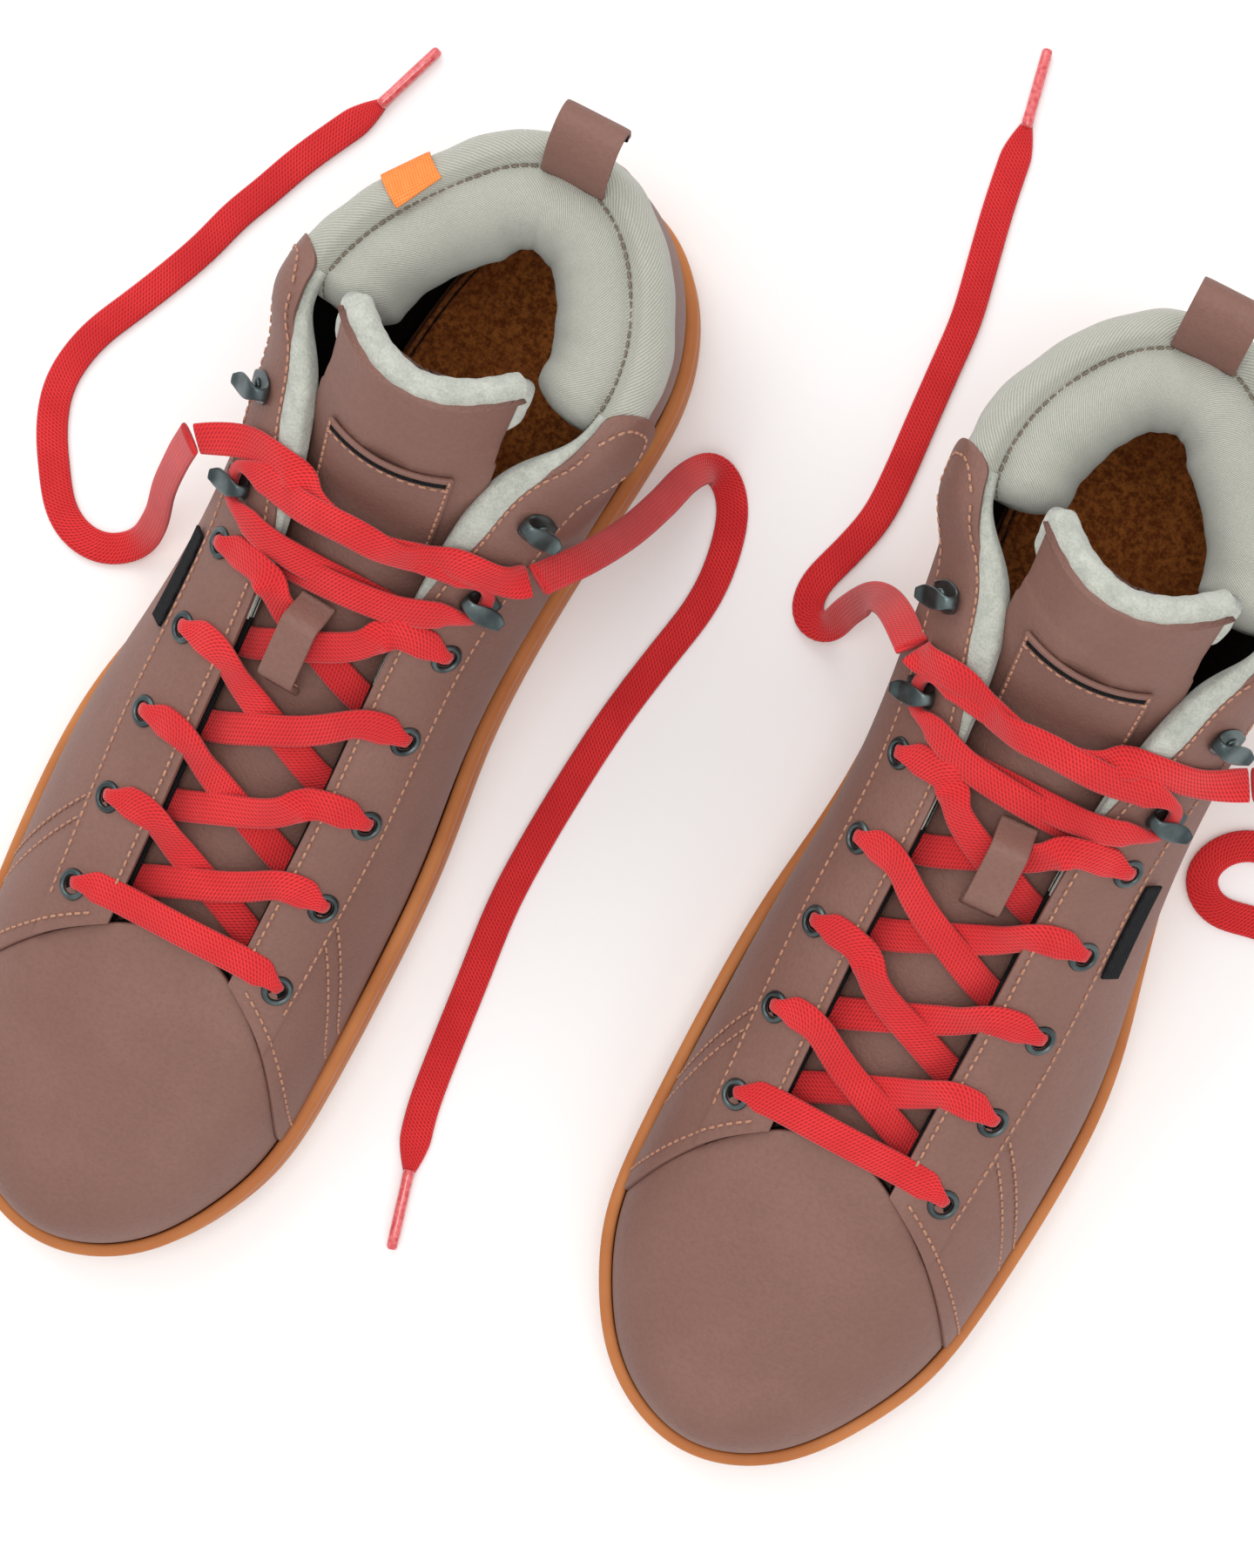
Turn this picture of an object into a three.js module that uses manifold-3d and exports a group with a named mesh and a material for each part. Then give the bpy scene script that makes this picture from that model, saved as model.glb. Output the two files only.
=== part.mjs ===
// A pair of mid-height lace-up boots with cupped gum-rubber soles, padded felt collars and flat laces.
// Units are millimetres and +Z is up. The pair stands on z = 0 with its toes towards -Y.
// One boot is worked out for the left foot: +X is its outer side, y = 0 is halfway along the sole.
// The right boot is its mirror image, a little ahead of the left one.
import * as THREE from "three";
import { mergeVertices } from "three/addons/utils/BufferGeometryUtils.js";
import Module from "manifold-3d";

const wasm = await Module();
wasm.setup();

// ---------------------------------------------------------------- driving dimensions
const SOLE_LENGTH = 300;
const BALL_WIDTH = 103.5;
const COLLAR_HEIGHT = 131; // top of the collar at the heel
const GAP = 0.3; // clearance between pieces that touch

const SOLE_HEIGHT = 22; // ground to the rim of the cup
const CUP_FLOOR = 14;
const RIM_WIDTH = 3.2;
const BOARD_THICKNESS = 3;
const FOOTBED_THICKNESS = 5.5;

const LEATHER = 2;
const STIFFENER = 1.2;
const LINING = 1.6;

const EYELETS = 5;
const EYELET_PITCH = 23.5;
const FIRST_EYELET = 12; // from the corner of the throat, along the facing
const HOOK_DISTANCES = [16.5, 41]; // from the last eyelet, along the facing
const EYELET_RADIUS = 3.6;
const EYELET_BORE = 2.4;
const EYELET_FLANGE = 0.7;

const LACE_WIDTH = 8;
const LACE_THICKNESS = 1.7;
const LACE_PINCH = 3.2; // width of the lace where it is squeezed through an eyelet
const AGLET_LENGTH = 19;
const AGLET_RADIUS = 1.5;

const TONGUE_THICKNESS = 4.5;
const TONGUE_PAD = 11;
const PULL_LOOP_WIDTH = 15;
const PULL_LOOP_THICKNESS = 1.8;
const PULL_LOOP_HEIGHT = 24;

const BOOT_SPACING = 155.3; // between the middle lines of the two boots
const BOOT_STAGGER = 29; // how far the right boot stands ahead of the left

// The last is drawn for one middle size and graded from it.
const MIDDLE_SIZE = { length: 300, width: 103.5, height: 131 };
const ALONG = SOLE_LENGTH / MIDDLE_SIZE.length;
const ACROSS = BALL_WIDTH / MIDDLE_SIZE.width;
const UPWARD = COLLAR_HEIGHT / MIDDLE_SIZE.height;

const OUTER_LAYER = 0;
const STIFFENER_LAYER = LEATHER + GAP;
const LINING_LAYER = STIFFENER_LAYER + STIFFENER + GAP;
const WALL = LINING_LAYER + LINING; // outer face to the inside of the lining
const LACE_DEPTH = WALL + 0.8 + LACE_THICKNESS / 2; // middle of the lace where it runs under a facing
const UNDER_LACE = WALL + 3 + LACE_THICKNESS;

// ---------------------------------------------------------------- materials
function material(color, roughness, metalness = 0) {
  return new THREE.MeshStandardMaterial({ color, roughness, metalness });
}
const finish = {
  leather: material(0x7d5c52, 0.6),
  gum: material(0xb06a38, 0.55),
  felt: material(0xacaea2, 0.95),
  fleece: material(0xc3c6bc, 1),
  cork: material(0x6e3716, 0.9),
  black: material(0x0c0c0d, 0.85),
  lace: material(0xd6333a, 0.85),
  metal: material(0x556262, 0.35, 0.9),
  tab: material(0xf58c46, 0.8),
  aglet: material(0xd8666a, 0.3),
};

// ---------------------------------------------------------------- the last
// Each row is one rib of the upper: where it leaves the sole [from the toe, to the outer side],
// where it ends at the top [from the toe, to the outer side, height], and how far it swells:
// [outwards, up] from its foot and [outwards, down] from its top.
const HEEL_RIB = { foot: [300, -5], top: [284, -4, 131], low: [3, 40], high: [9, 0] };
const OUTER_RIBS = [
  { foot: [297, 8], top: [281, 7, 130], low: [3, 40], high: [10, 0] },
  { foot: [285, 22.5], top: [271, 18, 128], low: [3, 40], high: [11, 0] },
  { foot: [262, 32], top: [253, 31, 125], low: [4, 40], high: [14, 0] },
  { foot: [235, 35.5], top: [233, 36, 123], low: [5, 38], high: [15, 0] },
  { foot: [205, 40.5], top: [212, 27, 118], low: [6, 38], high: [24, 5] },
  { foot: [165, 49], top: [175, 20.5, 97], low: [4, 32], high: [24, 6] },
  { foot: [120, 58], top: [125, 20, 75], low: [1, 22], high: [24, 6] },
  { foot: [53, 53], top: [88, 3.5, 63], low: [0, 20], high: [30, 0] },
  { foot: [30, 43.5], top: [64, 4, 54], low: [0, 18], high: [28, 0] },
  { foot: [14, 33], top: [48, 4.6, 49], low: [0, 17], high: [24, 0] },
  { foot: [4, 20], top: [35, 4.6, 45.5], low: [0, 16], high: [20, 0] },
];
const INNER_RIBS = [
  { foot: [297, -18], top: [281, -16, 130], low: [3, 40], high: [10, 0] },
  { foot: [285, -32], top: [271, -27, 128], low: [3, 40], high: [11, 0] },
  { foot: [262, -41], top: [253, -35, 125], low: [4, 40], high: [13, 0] },
  { foot: [235, -40], top: [233, -34, 122], low: [4, 38], high: [14, 0] },
  { foot: [205, -37], top: [212, -20, 116], low: [6, 38], high: [24, 5] },
  { foot: [165, -36], top: [175, -14, 96], low: [5, 32], high: [22, 6] },
  { foot: [120, -41], top: [125, -13.5, 75], low: [1, 22], high: [22, 6] },
  { foot: [51, -40.5], top: [88, 3.5, 63], low: [0, 20], high: [30, 0] },
  { foot: [30, -33.5], top: [64, 4, 54], low: [0, 18], high: [28, 0] },
  { foot: [14, -24], top: [48, 4.6, 49], low: [0, 17], high: [24, 0] },
  { foot: [4, -10.5], top: [35, 4.6, 45.5], low: [0, 16], high: [20, 0] },
];
const TOE_RIB = { foot: [0, 4.6], top: [26, 4.6, 43], low: [0, 15], high: [16, 0] };
const THROAT_RIB = 8; // the rib along which quarter and vamp meet
const COLLAR_RIB = 4; // the rib where the collar pad ends and the facing begins
const LAST_RIB = 12; // the rib up the middle of the toe
const THROAT_CORNER = 0.8; // share of the throat rib that is covered by the quarter

// All ribs in one ring: -12 is the toe, then the inner side, 0 the heel, the outer side, 12 the toe.
const RING = [TOE_RIB, ...[...INNER_RIBS].reverse(), HEEL_RIB, ...OUTER_RIBS];

function ribRow(index) {
  return RING[(((index + LAST_RIB) % RING.length) + RING.length) % RING.length];
}

function vec(x, y, z) {
  return new THREE.Vector3(x, y, z);
}

const UP = vec(0, 0, 1);

function bootPoint([along, side], height) {
  return vec(side * ACROSS, (along - MIDDLE_SIZE.length / 2) * ALONG, height);
}

// Uniform Catmull-Rom blend of four vectors.
function blend(a, b, c, d, f) {
  const point = vec(0, 0, 0);
  point.addScaledVector(a, 0.5 * (-f + 2 * f * f - f * f * f));
  point.addScaledVector(b, 0.5 * (2 - 5 * f * f + 3 * f * f * f));
  point.addScaledVector(c, 0.5 * (f + 4 * f * f - 3 * f * f * f));
  point.addScaledVector(d, 0.5 * (-f * f + f * f * f));
  return point;
}

function alongList(valueAt, s) {
  const i = Math.floor(s);
  return blend(valueAt(i - 1), valueAt(i), valueAt(i + 1), valueAt(i + 2), s - i);
}

// The outline of the sole at rib s, and the level direction out of it.
function outline(s) {
  return alongList((i) => bootPoint(ribRow(i).foot, 0), s);
}

function outward(s) {
  const step = outline(s + 0.02).sub(outline(s - 0.02));
  return vec(-step.y, step.x, 0).normalize();
}

function insetOutline(s, inset, height) {
  const point = outline(s).addScaledVector(outward(s), -inset);
  point.z = height;
  return point;
}

// The four control points of rib i. On the vamp the rib ends level with the ridge, which slopes.
function ribControls(i) {
  const row = ribRow(i);
  const out = outward(i);
  const foot = insetOutline(i, RIM_WIDTH + GAP, SOLE_HEIGHT);
  const rise = row.top[2] * UPWARD;
  const top = bootPoint(row.top, rise);
  const low = foot.clone().addScaledVector(out, row.low[0]);
  low.z += row.low[1] * UPWARD;
  const high = top.clone().addScaledVector(out, row.high[0]);
  if (Math.abs(i) < THROAT_RIB) high.z -= row.high[1];
  else high.z += ridgeSlope(Math.abs(i)) * (high.y - top.y);
  return [foot, low, high, top];
}

function ridgeSlope(i) {
  const back = ribRow(Math.max(i - 1, THROAT_RIB)).top;
  const front = ribRow(Math.min(i + 1, LAST_RIB)).top;
  return ((back[2] - front[2]) * UPWARD) / ((back[0] - front[0]) * ALONG);
}

// The first part of a cubic Bezier, up to share f.
function shortened([a, b, c, d], f) {
  const ab = a.clone().lerp(b, f);
  const bc = b.clone().lerp(c, f);
  const cd = c.clone().lerp(d, f);
  const abc = ab.clone().lerp(bc, f);
  const bcd = bc.clone().lerp(cd, f);
  return [a.clone(), ab, abc, abc.clone().lerp(bcd, f)];
}

function bezier([a, b, c, d], f) {
  const g = 1 - f;
  const point = vec(0, 0, 0);
  point.addScaledVector(a, g * g * g);
  point.addScaledVector(b, 3 * g * g * f);
  point.addScaledVector(c, 3 * g * f * f);
  point.addScaledVector(d, f * f * f);
  return point;
}

const controlCache = new Map();
function quarterControls(i) {
  const kept = Math.max(-THROAT_RIB, Math.min(THROAT_RIB, i));
  if (!controlCache.has(kept)) {
    const whole = ribControls(kept);
    const atThroat = Math.abs(kept) === THROAT_RIB;
    controlCache.set(kept, atThroat ? shortened(whole, THROAT_CORNER) : whole);
  }
  return controlCache.get(kept);
}

// A point of the outer face of the shaft: s is the rib, v goes from the sole (0) to the top edge (1).
// Below v = 0 the wall drops straight into the cup of the sole.
function shaftPoint(s, v) {
  const controls = [0, 1, 2, 3].map((k) => alongList((i) => quarterControls(i)[k], s));
  if (v >= 0) return bezier(controls, v);
  return controls[0].clone().setZ(CUP_FLOOR + GAP);
}

// The same for the vamp, whose ribs run from the throat rib to the toe and end on the ridge.
function vampPoint(s, v) {
  const side = Math.sign(s);
  const near = (i) => {
    const past = Math.abs(i);
    if (past < THROAT_RIB) return side * THROAT_RIB;
    return past > LAST_RIB ? -side * (2 * LAST_RIB - past) : i;
  };
  const i = side * Math.floor(Math.abs(s));
  const f = Math.abs(s) - Math.floor(Math.abs(s));
  const controls = [0, 1, 2, 3].map((k) =>
    blend(
      ribControls(near(i - side))[k],
      ribControls(near(i))[k],
      ribControls(near(i + side))[k],
      ribControls(near(i + 2 * side))[k],
      f,
    ),
  );
  if (v >= 0) return bezier(controls, v);
  return controls[0].clone().setZ(CUP_FLOOR + GAP);
}

// ---------------------------------------------------------------- closed solids from grids
function spread(from, to, steps) {
  return Array.from({ length: steps + 1 }, (_, i) => from + ((to - from) * i) / steps);
}

function keyOf(point) {
  return [point.x, point.y, point.z].map((c) => Math.round(c * 500)).join();
}

// Unit normals of a grid of points, shared where two grid points are the same place.
function gridNormals(grid) {
  const sums = new Map();
  const addTo = (point, normal) => {
    const key = keyOf(point);
    if (!sums.has(key)) sums.set(key, vec(0, 0, 0));
    sums.get(key).add(normal);
  };
  for (let i = 0; i + 1 < grid.length; i++)
    for (let j = 0; j + 1 < grid[i].length; j++) {
      const corners = [grid[i][j], grid[i + 1][j], grid[i + 1][j + 1], grid[i][j + 1]];
      const across = corners[2].clone().sub(corners[0]);
      const normal = across.cross(corners[3].clone().sub(corners[1]));
      corners.forEach((corner) => addTo(corner, normal));
    }
  return grid.map((row) => row.map((point) => sums.get(keyOf(point)).clone().normalize()));
}

function offsetGrid(grid, normals, distance) {
  return grid.map((row, i) =>
    row.map((point, j) => point.clone().addScaledVector(normals[i][j], distance)),
  );
}

function subGrid(grid, rows, columns) {
  return grid
    .slice(rows[0], rows[1] + 1)
    .map((row) => row.slice(columns[0], columns[1] + 1));
}

// A closed sheet between two grids of the same shape: both faces, and a wall round every free edge.
// Cells that `keeps` turns down are left open.
function sheetBetween(outer, inner, keeps = () => true) {
  const points = [];
  const index = new Map();
  const numberOf = (point, layer) => {
    const key = layer + keyOf(point);
    if (!index.has(key)) {
      index.set(key, points.length);
      points.push(point);
    }
    return index.get(key);
  };
  const triangles = [];
  const edges = new Map();
  const addFace = (a, b, c, innerOf) => {
    if (a === b || b === c || c === a) return;
    triangles.push(a, b, c, innerOf.get(a), innerOf.get(c), innerOf.get(b));
    for (const [p, q] of [
      [a, b],
      [b, c],
      [c, a],
    ]) {
      if (edges.has(q + "," + p)) edges.delete(q + "," + p);
      else edges.set(p + "," + q, [p, q]);
    }
  };
  const innerOf = new Map();
  const number = outer.map((row, i) =>
    row.map((point, j) => {
      const a = numberOf(point, "o");
      innerOf.set(a, numberOf(inner[i][j], "i"));
      return a;
    }),
  );
  for (let i = 0; i + 1 < number.length; i++)
    for (let j = 0; j + 1 < number[i].length; j++) {
      if (!keeps(i, j)) continue;
      addFace(number[i][j], number[i + 1][j], number[i + 1][j + 1], innerOf);
      addFace(number[i][j], number[i + 1][j + 1], number[i][j + 1], innerOf);
    }
  for (const [p, q] of edges.values())
    triangles.push(q, p, innerOf.get(p), q, innerOf.get(p), innerOf.get(q));
  return indexedGeometry(points, triangles);
}

function indexedGeometry(points, triangles) {
  const geometry = new THREE.BufferGeometry();
  const flat = points.flatMap((point) => [point.x, point.y, point.z]);
  geometry.setAttribute("position", new THREE.Float32BufferAttribute(flat, 3));
  geometry.setIndex(triangles);
  return facingOut(geometry);
}

function volumeOf(geometry) {
  const place = geometry.attributes.position;
  const corner = (k) => vec(0, 0, 0).fromBufferAttribute(place, geometry.index.getX(k));
  let sum = 0;
  for (let k = 0; k < geometry.index.count; k += 3)
    sum += corner(k).dot(corner(k + 1).cross(corner(k + 2)));
  return sum / 6;
}

function facingOut(geometry) {
  if (volumeOf(geometry) < 0) {
    const order = [...geometry.index.array];
    for (let k = 0; k < order.length; k += 3)
      [order[k + 1], order[k + 2]] = [order[k + 2], order[k + 1]];
    geometry.setIndex(order);
  }
  geometry.computeVertexNormals();
  return geometry;
}

// A closed solid through a list of rings with as many points each, capped at both ends.
function loft(rings, closed = false) {
  const count = rings[0].length;
  const points = rings.flat();
  const triangles = [];
  const spans = closed ? rings.length : rings.length - 1;
  for (let i = 0; i < spans; i++)
    for (let j = 0; j < count; j++) {
      const a = i * count + j;
      const b = i * count + ((j + 1) % count);
      const shift = (((i + 1) % rings.length) - i) * count;
      triangles.push(a, b, b + shift, a, b + shift, a + shift);
    }
  if (!closed)
    for (const [first, turn] of [
      [0, 1],
      [(rings.length - 1) * count, -1],
    ]) {
      const middle = points.length;
      const centre = vec(0, 0, 0);
      for (let j = 0; j < count; j++) centre.addScaledVector(points[first + j], 1 / count);
      points.push(centre);
      for (let j = 0; j < count; j++) {
        const pair = [first + ((j + 1) % count), first + j];
        if (turn < 0) pair.reverse();
        triangles.push(middle, ...pair);
      }
    }
  return indexedGeometry(points, triangles);
}

// ---------------------------------------------------------------- booleans
function toManifold(geometry) {
  const bare = geometry.clone();
  bare.deleteAttribute("normal");
  bare.deleteAttribute("uv");
  const merged = mergeVertices(bare, 1e-4);
  return new wasm.Manifold(
    new wasm.Mesh({
      numProp: 3,
      vertProperties: new Float32Array(merged.attributes.position.array),
      triVerts: new Uint32Array(merged.index.array),
    }),
  );
}

function fromManifold(solid) {
  const mesh = solid.getMesh();
  const geometry = new THREE.BufferGeometry();
  geometry.setAttribute("position", new THREE.BufferAttribute(mesh.vertProperties, 3));
  geometry.setIndex(new THREE.BufferAttribute(mesh.triVerts, 1));
  geometry.computeVertexNormals();
  return geometry;
}

function joined(pieces) {
  return fromManifold(pieces.map(toManifold).reduce((sum, piece) => sum.add(piece)));
}

function cutFrom(body, tools) {
  return fromManifold(
    tools.map(toManifold).reduce((rest, tool) => rest.subtract(tool), toManifold(body)),
  );
}

// Turns a geometry built along +Z so that its Z follows `up` and its X lies nearest `ahead`.
function placed(geometry, origin, up, ahead) {
  const z = up.clone().normalize();
  const y = z.clone().cross(ahead).normalize();
  const x = y.clone().cross(z);
  const turn = new THREE.Matrix4().makeBasis(x, y, z).setPosition(origin);
  return geometry.clone().applyMatrix4(turn);
}

// ---------------------------------------------------------------- upper: panels on one shared grid
const SEAM_V = 0.68; // where the eyestay, or the collar, meets the quarter
const LINING_TOP_V = 0.55; // where the lining stops under the collar pad
const LEATHER_EDGE_V = 0.93; // inner edge of the eyestay; the lining shows beyond it
const SEAM_HALF_V = 0.006; // half of a panel seam, as a share of a rib
const SEAM_HALF_S = 0.024; // half of a panel seam, as a share of the spacing of the ribs
const VAMP_SEAM_S = 0.09; // the same where the thick walls of quarter and vamp meet

const RIB_LINES = [
  ...spread(-THROAT_RIB, -COLLAR_RIB - SEAM_HALF_S, 6),
  ...spread(-COLLAR_RIB + SEAM_HALF_S, -SEAM_HALF_S, 6),
  ...spread(SEAM_HALF_S, COLLAR_RIB - SEAM_HALF_S, 6),
  ...spread(COLLAR_RIB + SEAM_HALF_S, THROAT_RIB, 6),
];
const LINE = { innerThroat: 0, innerCollar: 6, heel: 13, outerCollar: 21, outerThroat: 27 };
const V_LINES = [
  -1,
  0,
  0.2,
  0.38,
  LINING_TOP_V,
  SEAM_V - SEAM_HALF_V,
  SEAM_V + SEAM_HALF_V,
  0.8,
  LEATHER_EDGE_V,
  1,
];
const ROW = { cup: 0, counter: 3, liningTop: 4, quarterTop: 5, seam: 6, leatherEdge: 8, top: 9 };

// Unit normal of a rib surface at rib s and share v, pointing out of the boot.
function normalOn(surface, s, v, nearest, farthest) {
  const step = 0.01;
  const kept = (rib) => Math.sign(s) * Math.min(Math.max(Math.abs(rib), nearest), farthest);
  const along = surface(kept(s + step), v).sub(surface(kept(s - step), v));
  const up = surface(s, Math.min(v + step, 1)).sub(surface(s, v - step));
  const normal = along.cross(up).normalize();
  const guide = outward(s).add(vec(0, 0, 0.5));
  return normal.dot(guide) < 0 ? normal.negate() : normal;
}

function shaftNormal(s, v) {
  return Math.abs(s) < 0.05 ? outward(s) : normalOn(shaftPoint, s, v, 0, THROAT_RIB);
}

function underVamp(s, v, depth) {
  const normal = normalOn(vampPoint, s, Math.min(v, 0.99), THROAT_RIB, LAST_RIB);
  return vampPoint(s, v).addScaledVector(normal, -depth);
}

// The normal used for a grid point: level in the cup of the sole, and shared by quarter and vamp
// along the throat, so that their linings meet without crossing.
function outNormal(s, v, found) {
  const out = outward(s);
  if (v <= 0) return out;
  const atThroat = Math.abs(Math.abs(s) - THROAT_RIB) <= VAMP_SEAM_S;
  if (!atThroat) return found.dot(out.clone().add(UP)) < 0 ? found.negate() : found;
  const rib = Math.sign(s) * THROAT_RIB;
  const onShaft = Math.abs(s) <= THROAT_RIB;
  const shaftV = onShaft ? v : Math.min(1, v / THROAT_CORNER);
  const vampV = Math.min(0.99, onShaft ? v * THROAT_CORNER : v);
  const shared = normalOn(shaftPoint, rib, shaftV, 0, THROAT_RIB);
  return shared.add(normalOn(vampPoint, rib, vampV, THROAT_RIB, LAST_RIB)).normalize();
}

const shaftGrid = RIB_LINES.map((s) => V_LINES.map((v) => shaftPoint(s, v)));
const shaftNormals = gridNormals(shaftGrid).map((row, i) =>
  row.map((normal, j) => outNormal(RIB_LINES[i], V_LINES[j], normal)),
);

function layerOf(grid, normals, depth, thickness) {
  return [offsetGrid(grid, normals, -depth), offsetGrid(grid, normals, -depth - thickness)];
}

function shaftPanel(lines, rows, depth, thickness) {
  const [outer, inner] = layerOf(shaftGrid, shaftNormals, depth, thickness);
  return sheetBetween(subGrid(outer, lines, rows), subGrid(inner, lines, rows));
}

const quarterRows = [ROW.cup, ROW.quarterTop];
const eyestayRows = [ROW.seam, ROW.leatherEdge];
const innerFacing = [LINE.innerThroat, LINE.innerCollar];
const outerFacing = [LINE.outerCollar, LINE.outerThroat];

const HALF_RIB = [-1, 0, 0.25, 0.5, 0.7, 0.85];
const VAMP_LINES = spread(THROAT_RIB + VAMP_SEAM_S, LAST_RIB, 7);
const vampGrid = VAMP_LINES.map((s) => [
  ...HALF_RIB.map((v) => vampPoint(s, v)),
  vampPoint(s, 1),
  ...[...HALF_RIB].reverse().map((v) => vampPoint(-s, v)),
]);
const vampNormals = gridNormals(vampGrid).map((row, i) =>
  row.map((normal, j) => {
    const past = j - HALF_RIB.length;
    const v = past === 0 ? 1 : HALF_RIB[HALF_RIB.length - Math.abs(past)];
    return outNormal(past > 0 ? -VAMP_LINES[i] : VAMP_LINES[i], v, normal);
  }),
);

function vampLayer(depth, thickness) {
  return sheetBetween(...layerOf(vampGrid, vampNormals, depth, thickness));
}

// A point at rib s and share v, `depth` below the outer face (negative is above it).
function under(s, v, depth) {
  return shaftPoint(s, v).addScaledVector(shaftNormal(s, v), -depth);
}

// The lining is full height at the facings and stops lower under the collar pad.
function quarterLining() {
  const [outer, inner] = layerOf(shaftGrid, shaftNormals, LINING_LAYER, LINING);
  const underCollar = (i) => i >= LINE.innerCollar && i < LINE.outerCollar;
  return sheetBetween(outer, inner, (i, j) => !underCollar(i) || j < ROW.liningTop);
}

// ---------------------------------------------------------------- collar pad
// Section of the roll beyond its crest: [inwards, up] from the crest.
const COLLAR_ROLL = [
  [8, 1.5],
  [15, -1.5],
  [18.5, -9],
  [17.5, -18],
  [13, -27],
];
const COLLAR_CLEARANCE_V = 0.01;
const COLLAR_END_S = 0.1; // where the pad ends, short of the facing

function collarRing(s) {
  const inward = outward(s).negate();
  const crest = shaftPoint(s, 1);
  const roll = COLLAR_ROLL.map(([across, up]) =>
    crest.clone().addScaledVector(inward, across).add(vec(0, 0, up)),
  );
  const foot = LINING_TOP_V + COLLAR_CLEARANCE_V;
  return [
    under(s, SEAM_V + SEAM_HALF_V, 0),
    under(s, 0.79, 0),
    under(s, 0.9, 0),
    crest,
    ...roll,
    under(s, foot, WALL),
    under(s, foot, LEATHER + 3 * GAP),
    under(s, SEAM_V + SEAM_HALF_V, LEATHER + 3 * GAP),
  ];
}

function collarPad() {
  const end = COLLAR_RIB - COLLAR_END_S;
  const lines = RIB_LINES.filter((s) => Math.abs(s) < end - 0.1);
  return loft([-end, ...lines, end].map(collarRing));
}

// ---------------------------------------------------------------- sole
const SOLE_EDGE = 2; // how far the tread's edge is rounded in

const SOLE_LINES = [
  ...VAMP_LINES.map((s) => -s).reverse(),
  ...RIB_LINES,
  ...VAMP_LINES.slice(0, -1),
];

function ringAt(inset, height) {
  return SOLE_LINES.map((s) => insetOutline(s, inset, height));
}

function outsole() {
  return loft([
    ringAt(SOLE_EDGE, 0),
    ringAt(0, SOLE_EDGE),
    ringAt(0, SOLE_HEIGHT - 1),
    ringAt(1, SOLE_HEIGHT),
    ringAt(RIM_WIDTH, SOLE_HEIGHT),
    ringAt(RIM_WIDTH, CUP_FLOOR),
  ]);
}

// A slab that fills the cup inside the lining.
function slab(bottom, thickness) {
  const ring = (height) =>
    SOLE_LINES.map((s) => {
      const foot = Math.abs(s) > THROAT_RIB ? vampPoint(s, 0) : shaftPoint(s, 0);
      return foot.addScaledVector(outward(s), -WALL - 2 * GAP).setZ(height);
    });
  return loft([ring(bottom), ring(bottom + thickness)]);
}

// ---------------------------------------------------------------- places along the facings
const HARDWARE_V = 0.79;

// The rib number found by walking up the facing from the throat corner.
function facingRib(side, distance) {
  let s = THROAT_RIB;
  let walked = 0;
  let last = shaftPoint(side * s, HARDWARE_V);
  while (walked < distance && s > COLLAR_RIB) {
    s -= 0.005;
    const next = shaftPoint(side * s, HARDWARE_V);
    walked += next.distanceTo(last);
    last = next;
  }
  return s;
}

const LAST_EYELET = FIRST_EYELET + (EYELETS - 1) * EYELET_PITCH;
function hardware(side) {
  const seat = (distance) => {
    const s = side * facingRib(side, distance);
    const up = shaftNormal(s, HARDWARE_V);
    const towardsTongue = shaftPoint(s, 1).sub(shaftPoint(s, HARDWARE_V));
    towardsTongue.addScaledVector(up, -towardsTongue.dot(up)).normalize();
    return { s, at: shaftPoint(s, HARDWARE_V), up, out: towardsTongue.negate() };
  };
  return {
    eyelets: spread(0, EYELETS - 1, EYELETS - 1).map((k) =>
      seat(FIRST_EYELET + k * EYELET_PITCH),
    ),
    hooks: HOOK_DISTANCES.map((distance) => seat(LAST_EYELET + distance)),
  };
}
const HARDWARE = { outer: hardware(1), inner: hardware(-1) };

const EYELET_WALL = 0.5;
const EYELET_SIDES = 6;
const FLANGE_LIFT = 0.4;

function eyeletDrill(seat, radius) {
  const drill = new THREE.CylinderGeometry(radius, radius, 4 * WALL, EYELET_SIDES);
  drill.rotateX(Math.PI / 2);
  return placed(drill, seat.at, seat.up, seat.out);
}

function lathe(profile, sides) {
  const points = profile.map(([radius, height]) => new THREE.Vector2(radius, height));
  const geometry = new THREE.LatheGeometry(points, sides);
  geometry.rotateX(Math.PI / 2);
  return facingOut(weld(geometry));
}

function weld(geometry) {
  geometry.deleteAttribute("normal");
  geometry.deleteAttribute("uv");
  return mergeVertices(geometry, 1e-4);
}

// A rivet of an eyelet, still solid.
function rivet(seat) {
  const barrel = EYELET_BORE + EYELET_WALL;
  const backed = -STIFFENER_LAYER - STIFFENER - GAP / 3;
  const body = lathe(
    [
      [0, backed],
      [barrel, backed],
      [barrel, FLANGE_LIFT],
      [EYELET_RADIUS + EYELET_WALL, FLANGE_LIFT],
      [EYELET_BORE, FLANGE_LIFT + EYELET_FLANGE],
      [0, FLANGE_LIFT + EYELET_FLANGE],
    ],
    EYELET_SIDES,
  );
  return placed(body, seat.at, seat.up, seat.out);
}

// The eyelets of one facing on the tape that backs them inside it.
function eyeletRow(side) {
  const seats = side > 0 ? HARDWARE.outer.eyelets : HARDWARE.inner.eyelets;
  const tape = shaftPanel(side > 0 ? outerFacing : innerFacing, eyestayRows, STIFFENER_LAYER, STIFFENER);
  const riveted = joined([tape, ...seats.map(rivet)]);
  return cutFrom(riveted, seats.map((seat) => eyeletDrill(seat, EYELET_BORE)));
}

function drilledPanel(panel, seats) {
  const hole = EYELET_BORE + EYELET_WALL + GAP;
  return cutFrom(panel, seats.map((seat) => eyeletDrill(seat, hole)));
}

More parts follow.
